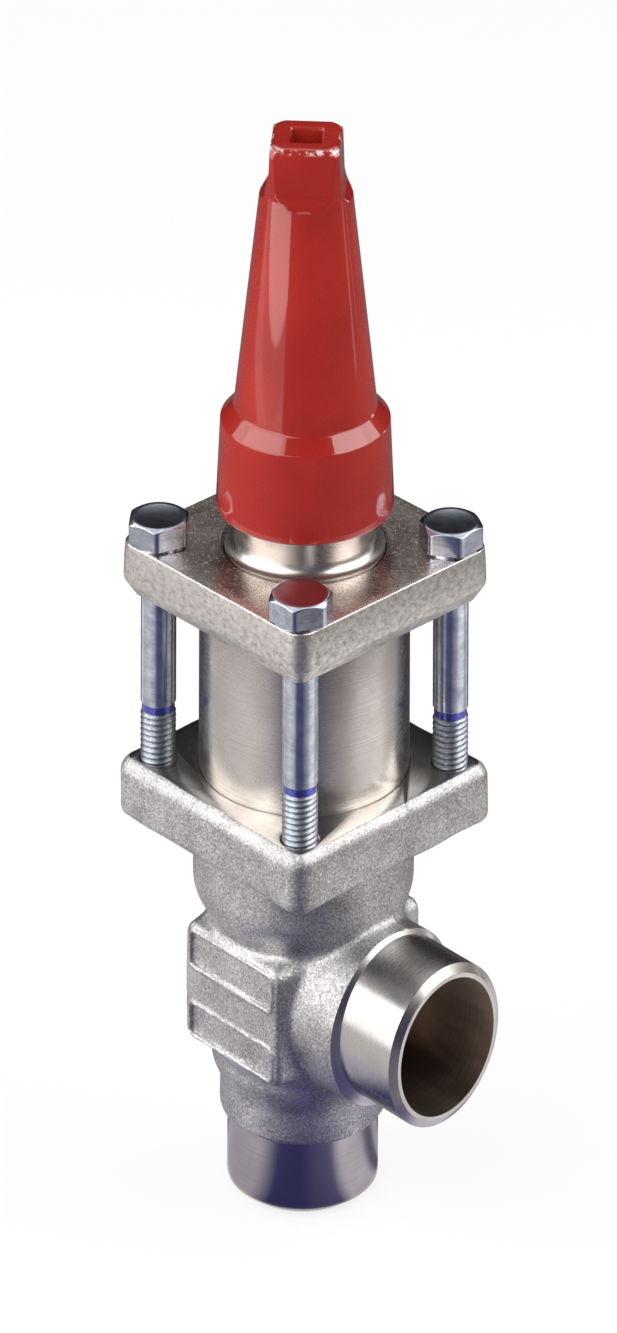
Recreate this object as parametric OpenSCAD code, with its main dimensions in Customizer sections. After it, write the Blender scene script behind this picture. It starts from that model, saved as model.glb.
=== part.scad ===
// Angle regulating valve with butt weld ends and a seal cap.
// Z runs up along the spindle, from the centre of the inlet weld face.
// X points out of the outlet, and the cast panels face -Y and +Y.

/* [Weld ends] */
// Outside diameter of both weld stubs
pipe_od = 33.7; // [31:0.1:36]
// Wall of the weld stubs
pipe_wall = 2.6; // [2:0.1:3.2]
// Width of the flat land left by the weld bevel
land_w = 0.9; // [0.5:0.1:1.5]
// Slope of the weld bevel from the end face
bevel_angle = 37.5; // [20:0.5:45]
// Turned length of each weld stub
stub_len = 16.2; // [12:0.1:18]
// Height of the outlet axis above the inlet face
inlet_reach = 47; // [46:0.5:50]
// Distance from the spindle axis to the outlet face
outlet_reach = 46; // [42:0.5:60]
// Length of the true bore behind the outlet face
outlet_bore_len = 24; // [18:0.5:25]
// Widening of the cast passage behind the outlet bore
passage_step = 0.75; // [0.3:0.05:1]

/* [Casting] */
// Radius of the cast collar above the inlet stub
collar_r = 18.6; // [18:0.1:19.5]
// Height of the cast collar
collar_h = 9; // [6:0.5:10]
// Radius of the casting round the flow chamber
barrel_r = 20.4; // [19.5:0.1:22]
// Radius of the bowl under the square flange
bowl_r = 24.7; // [24:0.1:27]
// Height of the bowl, with its rounded foot
bowl_h = 20.5; // [16:0.5:22]
// Radius of the rounded foot of the bowl
bowl_foot_r = 9; // [5:0.5:10]
// Fillet between the bowl and the flange above it
bowl_fillet_r = 2.5; // [1:0.5:4]
// Radius of the cast outlet branch at its shoulder
branch_r = 17.9; // [17.4:0.1:19.5]
// Radius of the cast outlet branch where it leaves the chamber
branch_root_r = 18.8; // [18:0.1:20.5]
// Distance from the spindle axis to the face of each cast panel
panel_y = 22.2; // [21:0.1:25]
// Width of each cast panel
panel_w = 30; // [24:0.5:32]
// Height of each cast panel
panel_h = 25.5; // [20:0.5:27]
// Height of the panel centre above the inlet face
panel_z = 45.5; // [44:0.5:50]
// Corner radius of each cast panel
panel_corner_r = 2.6; // [1:0.1:4]
// Growth of the panel's root on every side
panel_draft = 1.8; // [1:0.1:4]

/* [Housing flange] */
// Side of the square flange on the housing
flange_w = 60.5; // [58:0.5:66]
// Thickness of the housing flange
seat_flange_t = 12.4; // [9:0.1:14]
// Height of the housing flange face above the inlet face
seat_flange_z = 92; // [90:0.5:100]
// Radius of the upright corners of the housing flange
seat_corner_r = 4; // [2:0.5:6]
// Radius of the rounded edges of the housing flange
seat_edge_r = 2.2; // [1:0.1:3]

/* [Flow chamber] */
// Height of the seat face above the inlet face
seat_z = 29; // [27:0.5:30]
// Radius of the flow port in the seat
port_r = 11.5; // [10:0.1:12]
// Width of the raised seat face
seat_w = 1.6; // [1:0.1:2]
// Height of the raised seat face
seat_h = 1; // [0.5:0.1:1.5]
// Thickness of the web that carries the seat
seat_web = 12; // [11.5:0.5:13]
// Height of the sloped lead from the inlet bore into the port
port_lead_h = 3; // [1:0.5:4]
// Radius of the flow chamber
chamber_r = 16.4; // [15.5:0.1:17]
// Radius of the bore that locates the bonnet insert
guide_bore_r = 19; // [18:0.1:20]

/* [Bonnet] */
// Radius of the bonnet insert
insert_r = 23.6; // [22.5:0.1:24.5]
// Height of the bonnet insert above the housing flange
insert_h = 36.5; // [30:0.5:45]
// Depth of the insert in the housing flange
insert_depth = 2; // [1:0.5:4]
// Thickness of the bonnet gasket
gasket_t = 1; // [0.5:0.1:2]
// Width of the bonnet gasket
gasket_w = 3.6; // [2:0.1:4]
// Length of the spigot under the bonnet insert
spigot_len = 13; // [8:0.5:16]
// Radius of the pocket in the spigot
spigot_pocket_r = 13; // [11:0.5:15]
// Radius of the ring on which the bonnet flange is centred
centre_ring_r = 18.1; // [17.5:0.1:19]
// Radius of the neck under its thread
neck_r = 15.3; // [14.8:0.1:15.8]
// Length of the plain neck above the bonnet flange
neck_plain_h = 10.5; // [9:0.5:14]
// Radius of the fillet at the foot of the neck
neck_fillet_r = 2.8; // [1:0.1:4]
// Outside radius of the neck thread
neck_thread_r = 16.4; // [16.2:0.1:17]
// Length of the neck thread
neck_thread_len = 14; // [12:0.5:18]
// Distance by which the bonnet flange stands back from the housing flange
bonnet_flange_inset = 0.25; // [0:0.05:1]
// Thickness of the bonnet flange
bonnet_flange_t = 12; // [9:0.5:16]
// Radius of the upright corners of the bonnet flange
bonnet_corner_r = 3; // [2:0.5:6]
// Inward width of the forging draft under the bonnet flange
bonnet_draft_w = 2.4; // [1.5:0.1:5]
// Height of the forging draft under the bonnet flange
bonnet_draft_h = 4.1; // [2:0.1:6]
// Chamfer round the centre hole of the bonnet flange
centre_chamfer = 0.6; // [0.2:0.1:1]

/* [Bonnet bolts] */
// Distance from the side of the housing flange to a bolt axis
bolt_inset = 7.15; // [6.5:0.05:8]
// Bolt diameter
bolt_d = 8; // [6:0.5:9]
// Bolt length under the head
bolt_len = 60; // [57:0.5:66]
// Length of the bolt thread
bolt_thread_len = 22; // [16:0.5:28]
// Width of the bolt head across its flats
bolt_head_af = 13; // [11:0.5:14]
// Height of the bolt head
bolt_head_h = 5.3; // [4:0.1:6.5]
// Diameter of the bolt holes in the bonnet flange
bolt_hole_d = 9; // [8.8:0.1:10]

/* [Spindle] */
// Radius of the plain spindle shaft
shaft_r = 5; // [4.5:0.1:5.4]
// Radius of the spindle thread
spindle_thread_r = 6.95; // [6.6:0.05:7.4]
// Length of the spindle thread
spindle_thread_len = 16; // [12:0.5:20]
// Height of the spindle thread above the housing flange
spindle_thread_start = 4; // [3:0.5:6]
// Radius of the journal that turns in the cone
journal_r = 5.6; // [5.5:0.1:6]
// Radius of the back seat collar
back_seat_r = 8.2; // [7.8:0.1:9]
// Travel of the cone from closed to fully open
lift = 10; // [6:0.5:10]
// Width of the square spindle end across its flats
drive_af = 7; // [6:0.1:7.5]
// Length of the square spindle end
drive_len = 10; // [7:0.5:12]
// Height of the spindle end above the neck
spindle_stand = 35; // [30:0.5:38]

/* [Regulating cone] */
// Radius of the cone disc
cone_r = 14.4; // [14:0.1:15]
// Thickness of the cone disc
cone_t = 6; // [5:0.5:8]
// Outside radius of the seal ring in the cone
seal_ring_r = 13.5; // [13.2:0.1:13.8]
// Thickness of the seal ring in the cone
seal_ring_t = 2.4; // [1.5:0.1:3]
// Length of the skirt below the seat face
skirt_len = 11; // [10.5:0.5:14]
// Wall of the skirt
skirt_wall = 2.2; // [1.5:0.1:3]
// Number of V ports in the skirt
port_count = 3; // [3:1:6]
// Width of each V port at its foot
port_w = 11; // [6:0.5:12]
// Outside radius of the hub that holds the spindle
hub_r = 9.2; // [8.8:0.1:10]
// Length of the hub above the disc
hub_len = 17; // [15:0.5:20]
// Number of balls that hold the spindle in the hub
ball_count = 10; // [6:1:12]
// Ball radius
ball_r = 1.25; // [1:0.05:1.4]
// Radius of the filler screw behind the balls
filler_r = 1.6; // [1.4:0.1:2]

/* [Packing] */
// Radius of the packing chamber
packing_r = 9.5; // [9:0.1:10.5]
// Thickness of the packing washer
packing_washer_t = 1.5; // [1:0.1:2]
// Thickness of the disc spring sheet
spring_t = 0.8; // [0.5:0.1:1]
// Free height of the disc spring
spring_h = 2.2; // [1.6:0.1:2.6]
// Number of packing rings
ring_count = 3; // [3:1:3]
// Height of one packing ring
ring_h = 2.6; // [2:0.1:3]
// Rise of the V section of the packing rings
ring_v = 0.9; // [0.3:0.1:1.2]
// Depth of the wrench pocket in the top of the neck
neck_pocket_h = 13; // [11:0.5:13]
// Radius of the wrench pocket in the top of the neck
neck_pocket_r = 13; // [12.2:0.1:13.2]
// Width of the gland head across its flats
gland_af = 20; // [18:0.5:21]
// Height of the gland head
gland_head_h = 6; // [4.5:0.5:8]
// Section radius of the outer gland ring seal
gland_seal_r = 0.7; // [0.6:0.05:0.9]
// Section radius of the spindle ring seal
spindle_seal_r = 0.75; // [0.6:0.05:0.9]
// Height of the wiper ring in the gland head
wiper_h = 2.4; // [1.5:0.1:3]
// Outside radius of the wiper ring
wiper_r = 6.6; // [6.2:0.1:7]

/* [Seal cap] */
// Height of the cap rim above the bonnet flange
cap_gap = 9; // [7:0.5:10]
// Height of the whole cap
cap_h = 82; // [78:0.5:90]
// Radius of the cap at its rim
cap_rim_r = 20; // [19.5:0.1:21]
// Radius of the skirt at its top
cap_skirt_top_r = 19.1; // [18.8:0.1:20]
// Height of the skirt
cap_skirt_h = 19.3; // [18.5:0.1:22]
// Height of the sloped shoulder above the skirt
cap_shoulder_h = 3.2; // [2:0.1:5]
// Radius of the cone above the shoulder
cap_cone_r = 16.1; // [15.8:0.1:17]
// Radius of the cone at the foot of the square head
cap_cone_top_r = 10.7; // [10:0.1:11]
// Height of the square head
head_h = 14.5; // [11:0.5:16]
// Width of the square head across its flats
head_af = 16.4; // [15:0.1:17]
// Radius to which the corners of the head are turned
head_corner_r = 10.2; // [9.6:0.1:10.4]
// Radius of the run-out at the foot of each flat
head_runout_r = 4.5; // [2:0.1:6]
// Chamfer on the top of the head
head_chamfer = 0.7; // [0.2:0.1:1]
// Turn of the square head against the outlet
head_turn = 45; // [0:1:90]
// Width of the square drive socket
socket_af = 7.2; // [6.2:0.1:8]
// Depth of the square drive socket
socket_depth = 10; // [6:0.5:11]
// Wall of the cap's cone
cap_wall = 3; // [2.4:0.1:3.2]
// Thickness of the cap gasket
cap_gasket_t = 1.5; // [1:0.1:2]

/* [Hidden] */
$fn = 64;

// Clearances
eps = 0.1;
run_fit = 0.05;
rest_gap = 0.05;
guide_fit = 0.1;
insert_fit = 0.5;
gasket_fit = 0.2;
thread_fit = 0.05;
skirt_fit = 0.3;
ball_fit = 0.05;
spigot_fit = 0.1;

// Weld ends
pipe_r = pipe_od / 2;
bore_r = pipe_r - pipe_wall;
land_r = bore_r + land_w;
bevel_h = (pipe_r - land_r) * tan(bevel_angle);
passage_r = bore_r + passage_step;
passage_lead = 2;

// Housing heights
collar_z = stub_len + collar_h;
barrel_z = collar_z + barrel_r - collar_r + 2;
seat_flange_under = seat_flange_z - seat_flange_t;
bowl_z = seat_flange_under - bowl_h;
floor_z = seat_z - seat_h;
web_z = seat_z - seat_web;
chamber_top = bowl_z + bowl_foot_r / 2;
gasket_z = seat_flange_z - insert_depth - gasket_t;
gasket_r = insert_r;
recess_r = insert_r + insert_fit;
tap_r = bolt_d / 2 + thread_fit;
cast_edge_r = 1;
panel_root_w = panel_w + 2 * panel_draft;
panel_root_y = sqrt(pow(barrel_r, 2) - pow(panel_root_w / 2, 2)) - 0.5;
panel_step = 1;

// Bonnet heights
insert_foot = seat_flange_z - insert_depth;
insert_top = seat_flange_z + insert_h;
bonnet_top = insert_top + bonnet_flange_t;
bonnet_flange_w = flange_w - 2 * bonnet_flange_inset;
neck_thread_z = bonnet_top + neck_plain_h;
neck_top = neck_thread_z + neck_thread_len;
neck_pocket_z = neck_top - neck_pocket_h;
spigot_r = guide_bore_r - spigot_fit;
centre_hole_r = centre_ring_r + 0.25;
lead_in = 0.8;
insert_edge = 0.5;
thread_bore_r = spindle_thread_r + run_fit;

// Bolts
bolt_groove_len = 2;
bolt_groove_r = bolt_d / 2 - 0.7;
bolt_washer_h = 0.5;
bolt_tip = 0.9;
bolt_turns = [[-1, -1, 9], [1, -1, 17], [1, 1, 3], [-1, 1, 24]];
bolt_spacing = flange_w - 2 * bolt_inset;

// Packing chamber, from its floor up
packing_z = seat_flange_z + spindle_thread_start + spindle_thread_len + lift + 2;
spring_z = packing_z + packing_washer_t;
rings_z = spring_z + spring_h;
gland_z = rings_z + ring_count * ring_h + ring_v;
shaft_bore_r = shaft_r + run_fit;
packing_fit = 0.1;
gland_r = packing_r - thread_fit;
gland_top = neck_pocket_z + gland_head_h;
gland_seal_z = neck_pocket_z - 2.6;
gland_seal_ring_r = packing_r - gland_seal_r - 0.03;
spindle_seal_z = gland_z + 3.4;
spindle_seal_ring_r = shaft_r + spindle_seal_r + run_fit;
seal_groove_fit = 0.1;
wiper_z = gland_top - wiper_h;

// Regulating cone and spindle
skirt_r = port_r - skirt_fit;
seal_ring_z = seat_z + rest_gap;
disc_z = seal_ring_z + seal_ring_t;
disc_top = disc_z + cone_t - seal_ring_t;
hub_top = disc_top + hub_len;
hub_bore_r = journal_r + run_fit;
journal_z = disc_top + 1.5;
ball_z = hub_top - 5;
ball_ring_r = journal_r + 0.1;
skirt_foot = seat_z - skirt_len;
port_top = seat_z - 0.6;
back_seat_h = 3;
back_seat_cone = back_seat_r - spindle_thread_r + 0.4;
back_seat_z = seat_flange_z - lift - back_seat_cone - 0.3;
spindle_thread_z = seat_flange_z + spindle_thread_start;
spindle_top = neck_top + spindle_stand;
spindle_chamfer = 0.8;

// Seal cap
cap_z = bonnet_top + cap_gap;
cap_top = cap_z + cap_h;
skirt_top = cap_z + cap_skirt_h;
shoulder_top = skirt_top + cap_shoulder_h;
head_z = cap_top - head_h;
cap_thread_r = neck_thread_r + run_fit;
cap_gasket_z = neck_top;
cap_step_z = cap_gasket_z + cap_gasket_t;
cap_gasket_in = neck_pocket_r;
cap_gasket_out = cap_thread_r - gasket_fit;
cap_rim_edge = 0.5;
cap_slope = (cap_cone_r - cap_cone_top_r) / (head_z - shoulder_top);
cavity_top = cap_top - socket_depth - 5;
cavity_foot_r = cap_cone_r - cap_wall + cap_slope * (shoulder_top - cap_step_z) - 0.6;
cavity_top_r = cap_cone_r - cap_wall - cap_slope * (cavity_top - shoulder_top);

module ring(r_in, r_out, z, h) {
    translate([0, 0, z])
        difference() {
            cylinder(r = r_out, h = h);
            translate([0, 0, -eps])
                cylinder(r = r_in, h = h + 2 * eps);
        }
}

module torus(r, section, z) {
    translate([0, 0, z])
        rotate_extrude()
            translate([r, 0])
                circle(r = section);
}

module at_bolts() {
    for (corner = bolt_turns)
        translate([corner[0] * bolt_spacing / 2, corner[1] * bolt_spacing / 2, 0])
            children();
}

// A square plate whose four corners are stacks of discs [height, inset], hulled into one.
module square_plate(w, corner_r, levels) {
    hull()
        for (sx = [-1, 1], sy = [-1, 1], level = levels)
            translate([sx * (w / 2 - corner_r), sy * (w / 2 - corner_r), level[0]])
                cylinder(r = corner_r - level[1], h = 0.01, $fn = 32);
}

// The end of a weld stub, from its face at z = 0 up.
module weld_stub(len) {
    rotate_extrude()
        polygon([[0, 0], [land_r, 0], [pipe_r, bevel_h], [pipe_r, len], [0, len]]);
}

// One cast panel on the -Y side, drafted towards its root.
module cast_panel() {
    hull() {
        for (sx = [-1, 1], sz = [-1, 1]) {
            translate([
                sx * (panel_w / 2 - panel_corner_r),
                -panel_y,
                panel_z + sz * (panel_h / 2 - panel_corner_r)
            ])
                rotate([-90, 0, 0]) {
                    cylinder(r = panel_corner_r - panel_step / 2, h = panel_step, $fn = 32);
                    translate([0, 0, panel_step / 2])
                        cylinder(r = panel_corner_r, h = panel_step, $fn = 32);
                }
            translate([
                sx * (panel_w / 2 - panel_corner_r),
                -panel_root_y,
                panel_z + sz * (panel_h / 2 - panel_corner_r)
            ])
                rotate([-90, 0, 0])
                    cylinder(r = panel_corner_r + panel_draft, h = panel_step, $fn = 32);
        }
    }
}

// The turned outline of the casting, with arcs for its rounded edges.
module casting_outline() {
    difference() {
        union() {
            // collar with a rounded lower edge
            translate([0, stub_len + cast_edge_r])
                square([collar_r, collar_h + 3]);
            translate([0, stub_len])
                square([collar_r - cast_edge_r, 2 * cast_edge_r]);
            translate([collar_r - cast_edge_r, stub_len + cast_edge_r])
                circle(r = cast_edge_r);
            // barrel round the flow chamber
            polygon([
                [0, collar_z],
                [collar_r, collar_z],
                [barrel_r, barrel_z],
                [barrel_r, bowl_z + bowl_foot_r],
                [0, bowl_z + bowl_foot_r]
            ]);
            // bowl with a rounded foot
            translate([0, bowl_z + bowl_foot_r])
                square([bowl_r, bowl_h - bowl_foot_r + eps]);
            translate([0, bowl_z])
                square([bowl_r - bowl_foot_r, bowl_foot_r + eps]);
            translate([bowl_r - bowl_foot_r, bowl_z + bowl_foot_r])
                circle(r = bowl_foot_r);
            // fillet under the square flange
            translate([bowl_r - eps, seat_flange_under - bowl_fillet_r])
                square([bowl_fillet_r + eps, bowl_fillet_r + eps]);
        }
        translate([bowl_r + bowl_fillet_r, seat_flange_under - bowl_fillet_r])
            circle(r = bowl_fillet_r);
    }
}

module casting() {
    weld_stub(stub_len + eps);
    rotate_extrude()
        casting_outline();
    translate([outlet_reach, 0, inlet_reach])
        rotate([0, -90, 0]) {
            weld_stub(stub_len + eps);
            translate([0, 0, stub_len])
                cylinder(r1 = branch_r, r2 = branch_root_r, h = outlet_reach - stub_len);
        }
    cast_panel();
    mirror([0, 1, 0])
        cast_panel();
    square_plate(flange_w, seat_corner_r, [
        [seat_flange_under, 1],
        [seat_flange_under + 1, 0],
        for (a = [0:30:90])
            [seat_flange_z - 0.01 - seat_edge_r * (1 - sin(a)), seat_edge_r * (1 - cos(a))]
    ]);
}

module flow_passages() {
    // inlet bore, port and outlet passage
    translate([0, 0, -eps])
        cylinder(r = bore_r, h = web_z + eps);
    translate([0, 0, web_z - eps])
        cylinder(r = port_r, h = seat_web + 2 * eps);
    translate([0, 0, web_z])
        cylinder(r1 = bore_r, r2 = port_r, h = port_lead_h);
    passage_len = outlet_reach - outlet_bore_len - passage_lead;
    translate([0, 0, inlet_reach])
        rotate([0, 90, 0]) {
            cylinder(r = passage_r, h = passage_len + eps);
            translate([0, 0, passage_len])
                cylinder(r1 = passage_r, r2 = bore_r, h = passage_lead);
            translate([0, 0, outlet_reach - outlet_bore_len])
                cylinder(r = bore_r, h = outlet_bore_len + eps);
        }
    // chamber round the raised seat
    ring(port_r + seat_w, chamber_r, floor_z, seat_h + eps);
    translate([0, 0, seat_z])
        cylinder(r = chamber_r, h = chamber_top - seat_z);
    translate([0, 0, chamber_top - eps])
        cylinder(r1 = chamber_r, r2 = guide_bore_r, h = guide_bore_r - chamber_r + eps);
    translate([0, 0, chamber_top + guide_bore_r - chamber_r - eps])
        cylinder(r = guide_bore_r, h = seat_flange_z);
    translate([0, 0, gasket_z])
        cylinder(r = recess_r, h = seat_flange_z - gasket_z + eps);
}

module body() {
    color("silver")
        difference() {
            casting();
            flow_passages();
            at_bolts()
                translate([0, 0, seat_flange_under - eps])
                    cylinder(r = tap_r, h = seat_flange_t + 2 * eps);
        }
}

module bonnet_gasket() {
    color("dimgray")
        ring(gasket_r - gasket_w, gasket_r, gasket_z, gasket_t);
}

module bonnet_insert() {
    color("gainsboro")
        difference() {
            rotate_extrude()
                difference() {
                    polygon([
                        [0, insert_foot - spigot_len],
                        [spigot_r - lead_in, insert_foot - spigot_len],
                        [spigot_r, insert_foot - spigot_len + lead_in],
                        [spigot_r, insert_foot],
                        [insert_r, insert_foot],
                        [insert_r, insert_top - insert_edge],
                        [insert_r - insert_edge, insert_top],
                        [centre_ring_r, insert_top],
                        [centre_ring_r, bonnet_top],
                        [neck_r, bonnet_top + neck_fillet_r],
                        [neck_r, neck_thread_z],
                        [neck_thread_r, neck_thread_z + neck_thread_r - neck_r],
                        [neck_thread_r, neck_top - lead_in],
                        [neck_thread_r - lead_in, neck_top],
                        [0, neck_top]
                    ]);
                    translate([neck_r + neck_fillet_r, bonnet_top + neck_fillet_r])
                        circle(r = neck_fillet_r);
                }
            translate([0, 0, insert_foot - spigot_len - eps])
                cylinder(r = spigot_pocket_r, h = seat_flange_z - insert_foot + spigot_len + eps);
            translate([0, 0, seat_flange_z - eps])
                cylinder(r = thread_bore_r, h = packing_z - seat_flange_z + 2 * eps);
            translate([0, 0, packing_z])
                cylinder(r = packing_r, h = neck_top - packing_z);
            translate([0, 0, neck_pocket_z])
                cylinder(r = neck_pocket_r, h = neck_pocket_h + eps);
        }
}

module bonnet_flange() {
    color("gray")
        difference() {
            square_plate(bonnet_flange_w, bonnet_corner_r, [
                [insert_top, bonnet_draft_w * 0.85],
                [insert_top + bonnet_draft_h, 0],
                [bonnet_top - 0.61, 0],
                [bonnet_top - 0.01, 0.5]
            ]);
            translate([0, 0, insert_top - eps])
                cylinder(r = centre_hole_r, h = bonnet_flange_t + 2 * eps);
            translate([0, 0, bonnet_top - centre_chamfer])
                cylinder(r1 = centre_hole_r, r2 = centre_hole_r + centre_chamfer + eps, h = centre_chamfer + eps);
            at_bolts()
                translate([0, 0, insert_top - eps])
                    cylinder(d = bolt_hole_d, h = bonnet_flange_t + 2 * eps);
        }
}

module bolt() {
    head_r = bolt_head_af / 2 / cos(30);
    tip_z = bonnet_top - bolt_len;
    groove_z = tip_z + bolt_thread_len;
    rotate_extrude()
        polygon([
            [0, tip_z],
            [bolt_d / 2 - bolt_tip, tip_z],
            [bolt_d / 2, tip_z + bolt_tip],
            [bolt_d / 2, groove_z],
            [bolt_groove_r, groove_z],
            [bolt_groove_r, groove_z + bolt_groove_len],
            [bolt_d / 2, groove_z + bolt_groove_len],
            [bolt_d / 2, bonnet_top],
            [bolt_head_af / 2 - 0.2, bonnet_top],
            [bolt_head_af / 2 - 0.2, bonnet_top + bolt_washer_h],
            [0, bonnet_top + bolt_washer_h]
        ]);
    translate([0, 0, bonnet_top + bolt_washer_h])
        intersection() {
            cylinder(r = head_r, h = bolt_head_h - bolt_washer_h, $fn = 6);
            rotate_extrude()
                polygon([
                    [0, -eps],
                    [head_r + eps, -eps],
                    [head_r + eps, bolt_head_h - bolt_washer_h - 0.9],
                    [bolt_head_af / 2 - 0.4, bolt_head_h - bolt_washer_h],
                    [0, bolt_head_h - bolt_washer_h]
                ]);
        }
}

module bonnet_bolts() {
    color("lightsteelblue")
        for (corner = bolt_turns)
            translate([corner[0] * bolt_spacing / 2, corner[1] * bolt_spacing / 2, 0])
                rotate([0, 0, corner[2]])
                    bolt();
}

// The V shaped windows of the skirt, narrow at the seat and wide at the foot.
module v_ports() {
    for (i = [0:port_count - 1])
        rotate([0, 0, 360 / port_count * (i + 0.5)])
            rotate([90, 0, 90])
                linear_extrude(height = skirt_r + eps)
                    polygon([
                        [0, port_top],
                        [-port_w / 2, skirt_foot - eps],
                        [port_w / 2, skirt_foot - eps]
                    ]);
}

module ball_groove() {
    torus(ball_ring_r, ball_r + ball_fit, ball_z);
}

module regulating_cone() {
    color("lightgray")
        difference() {
            rotate_extrude()
                polygon([
                    [skirt_r - skirt_wall, skirt_foot],
                    [skirt_r, skirt_foot],
                    [skirt_r, disc_z],
                    [seal_ring_r, disc_z],
                    [seal_ring_r, seat_z + seal_ring_t / 2],
                    [cone_r - 0.5, seat_z + seal_ring_t / 2],
                    [cone_r, seat_z + seal_ring_t / 2 + 0.5],
                    [cone_r, disc_top - 1],
                    [cone_r - 1, disc_top],
                    [hub_r, disc_top],
                    [hub_r, hub_top - lead_in],
                    [hub_r - lead_in, hub_top],
                    [0, hub_top],
                    [0, disc_z],
                    [skirt_r - skirt_wall - 2, disc_z],
                    [skirt_r - skirt_wall, disc_z - 2]
                ]);
            v_ports();
            translate([0, 0, journal_z])
                cylinder(r = hub_bore_r, h = hub_top - journal_z + eps);
            ball_groove();
            translate([0, 0, ball_z])
                rotate([0, 90, 0])
                    cylinder(r = filler_r + thread_fit, h = hub_r + eps);
        }
}

module cone_seal_ring() {
    color("white")
        ring(skirt_r, seal_ring_r, seal_ring_z, seal_ring_t);
}

module cone_balls() {
    color("lightgray")
        for (i = [0:ball_count - 1])
            rotate([0, 0, 360 / ball_count * (i + 0.5)])
                translate([ball_ring_r, 0, ball_z])
                    sphere(r = ball_r, $fn = 24);
}

module cone_filler_screw() {
    color("dimgray")
        translate([ball_ring_r + ball_r + 0.25, 0, ball_z])
            rotate([0, 90, 0])
                difference() {
                    cylinder(r = filler_r, h = hub_r - ball_ring_r - ball_r - 0.5);
                    translate([0, 0, hub_r - ball_ring_r - ball_r - 1.2])
                        cylinder(r = filler_r / 2, h = 1, $fn = 6);
                }
}

module spindle() {
    color("silver")
        difference() {
            union() {
                rotate_extrude()
                    polygon([
                        [0, journal_z + rest_gap],
                        [journal_r - spindle_chamfer, journal_z + rest_gap],
                        [journal_r, journal_z + rest_gap + spindle_chamfer],
                        [journal_r, hub_top],
                        [shaft_r, hub_top + journal_r - shaft_r],
                        [shaft_r, back_seat_z - back_seat_h],
                        [back_seat_r, back_seat_z - back_seat_h],
                        [back_seat_r, back_seat_z],
                        [back_seat_r - back_seat_cone, back_seat_z + back_seat_cone],
                        [shaft_r, back_seat_z + back_seat_cone],
                        [shaft_r, spindle_thread_z - spindle_thread_r + shaft_r],
                        [spindle_thread_r, spindle_thread_z],
                        [spindle_thread_r, spindle_thread_z + spindle_thread_len - 2],
                        [shaft_r, spindle_thread_z + spindle_thread_len],
                        [shaft_r, spindle_top - drive_len],
                        [0, spindle_top - drive_len]
                    ]);
                translate([0, 0, spindle_top - drive_len - eps])
                    intersection() {
                        translate([-drive_af / 2, -drive_af / 2, 0])
                            cube([drive_af, drive_af, drive_len + eps]);
                        cylinder(r = shaft_r - 0.3, h = drive_len + eps);
                        translate([0, 0, -drive_af])
                            cylinder(
                                r1 = drive_af * 0.6 + drive_len + drive_af,
                                r2 = drive_af * 0.6,
                                h = drive_len + drive_af + eps
                            );
                    }
            }
            ball_groove();
        }
}

module packing_washer() {
    color("gray")
        ring(shaft_bore_r, packing_r - packing_fit, packing_z, packing_washer_t);
}

module disc_spring() {
    color("darkgray")
        rotate_extrude()
            polygon([
                [shaft_bore_r + 0.5, rings_z - spring_t],
                [shaft_bore_r + 0.5, rings_z],
                [packing_r - 0.3, spring_z + spring_t],
                [packing_r - 0.3, spring_z]
            ]);
}

module packing_ring(index) {
    mid_r = (shaft_bore_r + packing_r) / 2;
    z = rings_z + index * ring_h;
    color("ivory")
        rotate_extrude()
            polygon([
                [shaft_bore_r, z],
                [mid_r, z + (index == 0 ? 0 : ring_v)],
                [packing_r - packing_fit, z],
                [packing_r - packing_fit, z + ring_h],
                [mid_r, z + ring_h + ring_v],
                [shaft_bore_r, z + ring_h]
            ]);
}

module packing_gland() {
    color("goldenrod")
        difference() {
            union() {
                translate([0, 0, gland_z])
                    cylinder(r = gland_r, h = neck_pocket_z - gland_z + eps);
                translate([0, 0, neck_pocket_z])
                    cylinder(r = gland_af / 2 / cos(30), h = gland_head_h, $fn = 6);
            }
            translate([0, 0, gland_z - eps])
                cylinder(r = shaft_bore_r + 0.1, h = gland_top - gland_z + 2 * eps);
            ring(gland_seal_ring_r - gland_seal_r - seal_groove_fit, gland_r + 1,
                gland_seal_z - gland_seal_r - seal_groove_fit, 2 * (gland_seal_r + seal_groove_fit));
            translate([0, 0, spindle_seal_z - spindle_seal_r - seal_groove_fit])
                cylinder(
                    r = spindle_seal_ring_r + spindle_seal_r + seal_groove_fit,
                    h = 2 * (spindle_seal_r + seal_groove_fit)
                );
            translate([0, 0, wiper_z])
                cylinder(r = wiper_r, h = wiper_h + eps);
        }
}

module gland_seal() {
    color("black")
        torus(gland_seal_ring_r, gland_seal_r, gland_seal_z);
}

module spindle_seal() {
    color("black")
        torus(spindle_seal_ring_r, spindle_seal_r, spindle_seal_z);
}

module spindle_wiper() {
    color("white")
        ring(shaft_bore_r, wiper_r - 0.05, wiper_z, wiper_h - 0.4);
}

module cap_gasket() {
    color("beige")
        ring(cap_gasket_in, cap_gasket_out, cap_gasket_z, cap_gasket_t);
}

// The four cuts that leave the square head, each ending in a round run-out.
module head_flats() {
    runout_z = head_z - cap_z + head_runout_r * 0.55;
    for (i = [0:3])
        rotate([0, 0, head_turn + 90 * i])
            translate([0, cap_rim_r, 0])
                rotate([90, 0, 0])
                    linear_extrude(height = 2 * cap_rim_r) {
                        translate([head_af / 2, runout_z])
                            square([cap_rim_r, cap_h]);
                        translate([head_af / 2 + head_runout_r, runout_z])
                            circle(r = head_runout_r);
                    }
}

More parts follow.
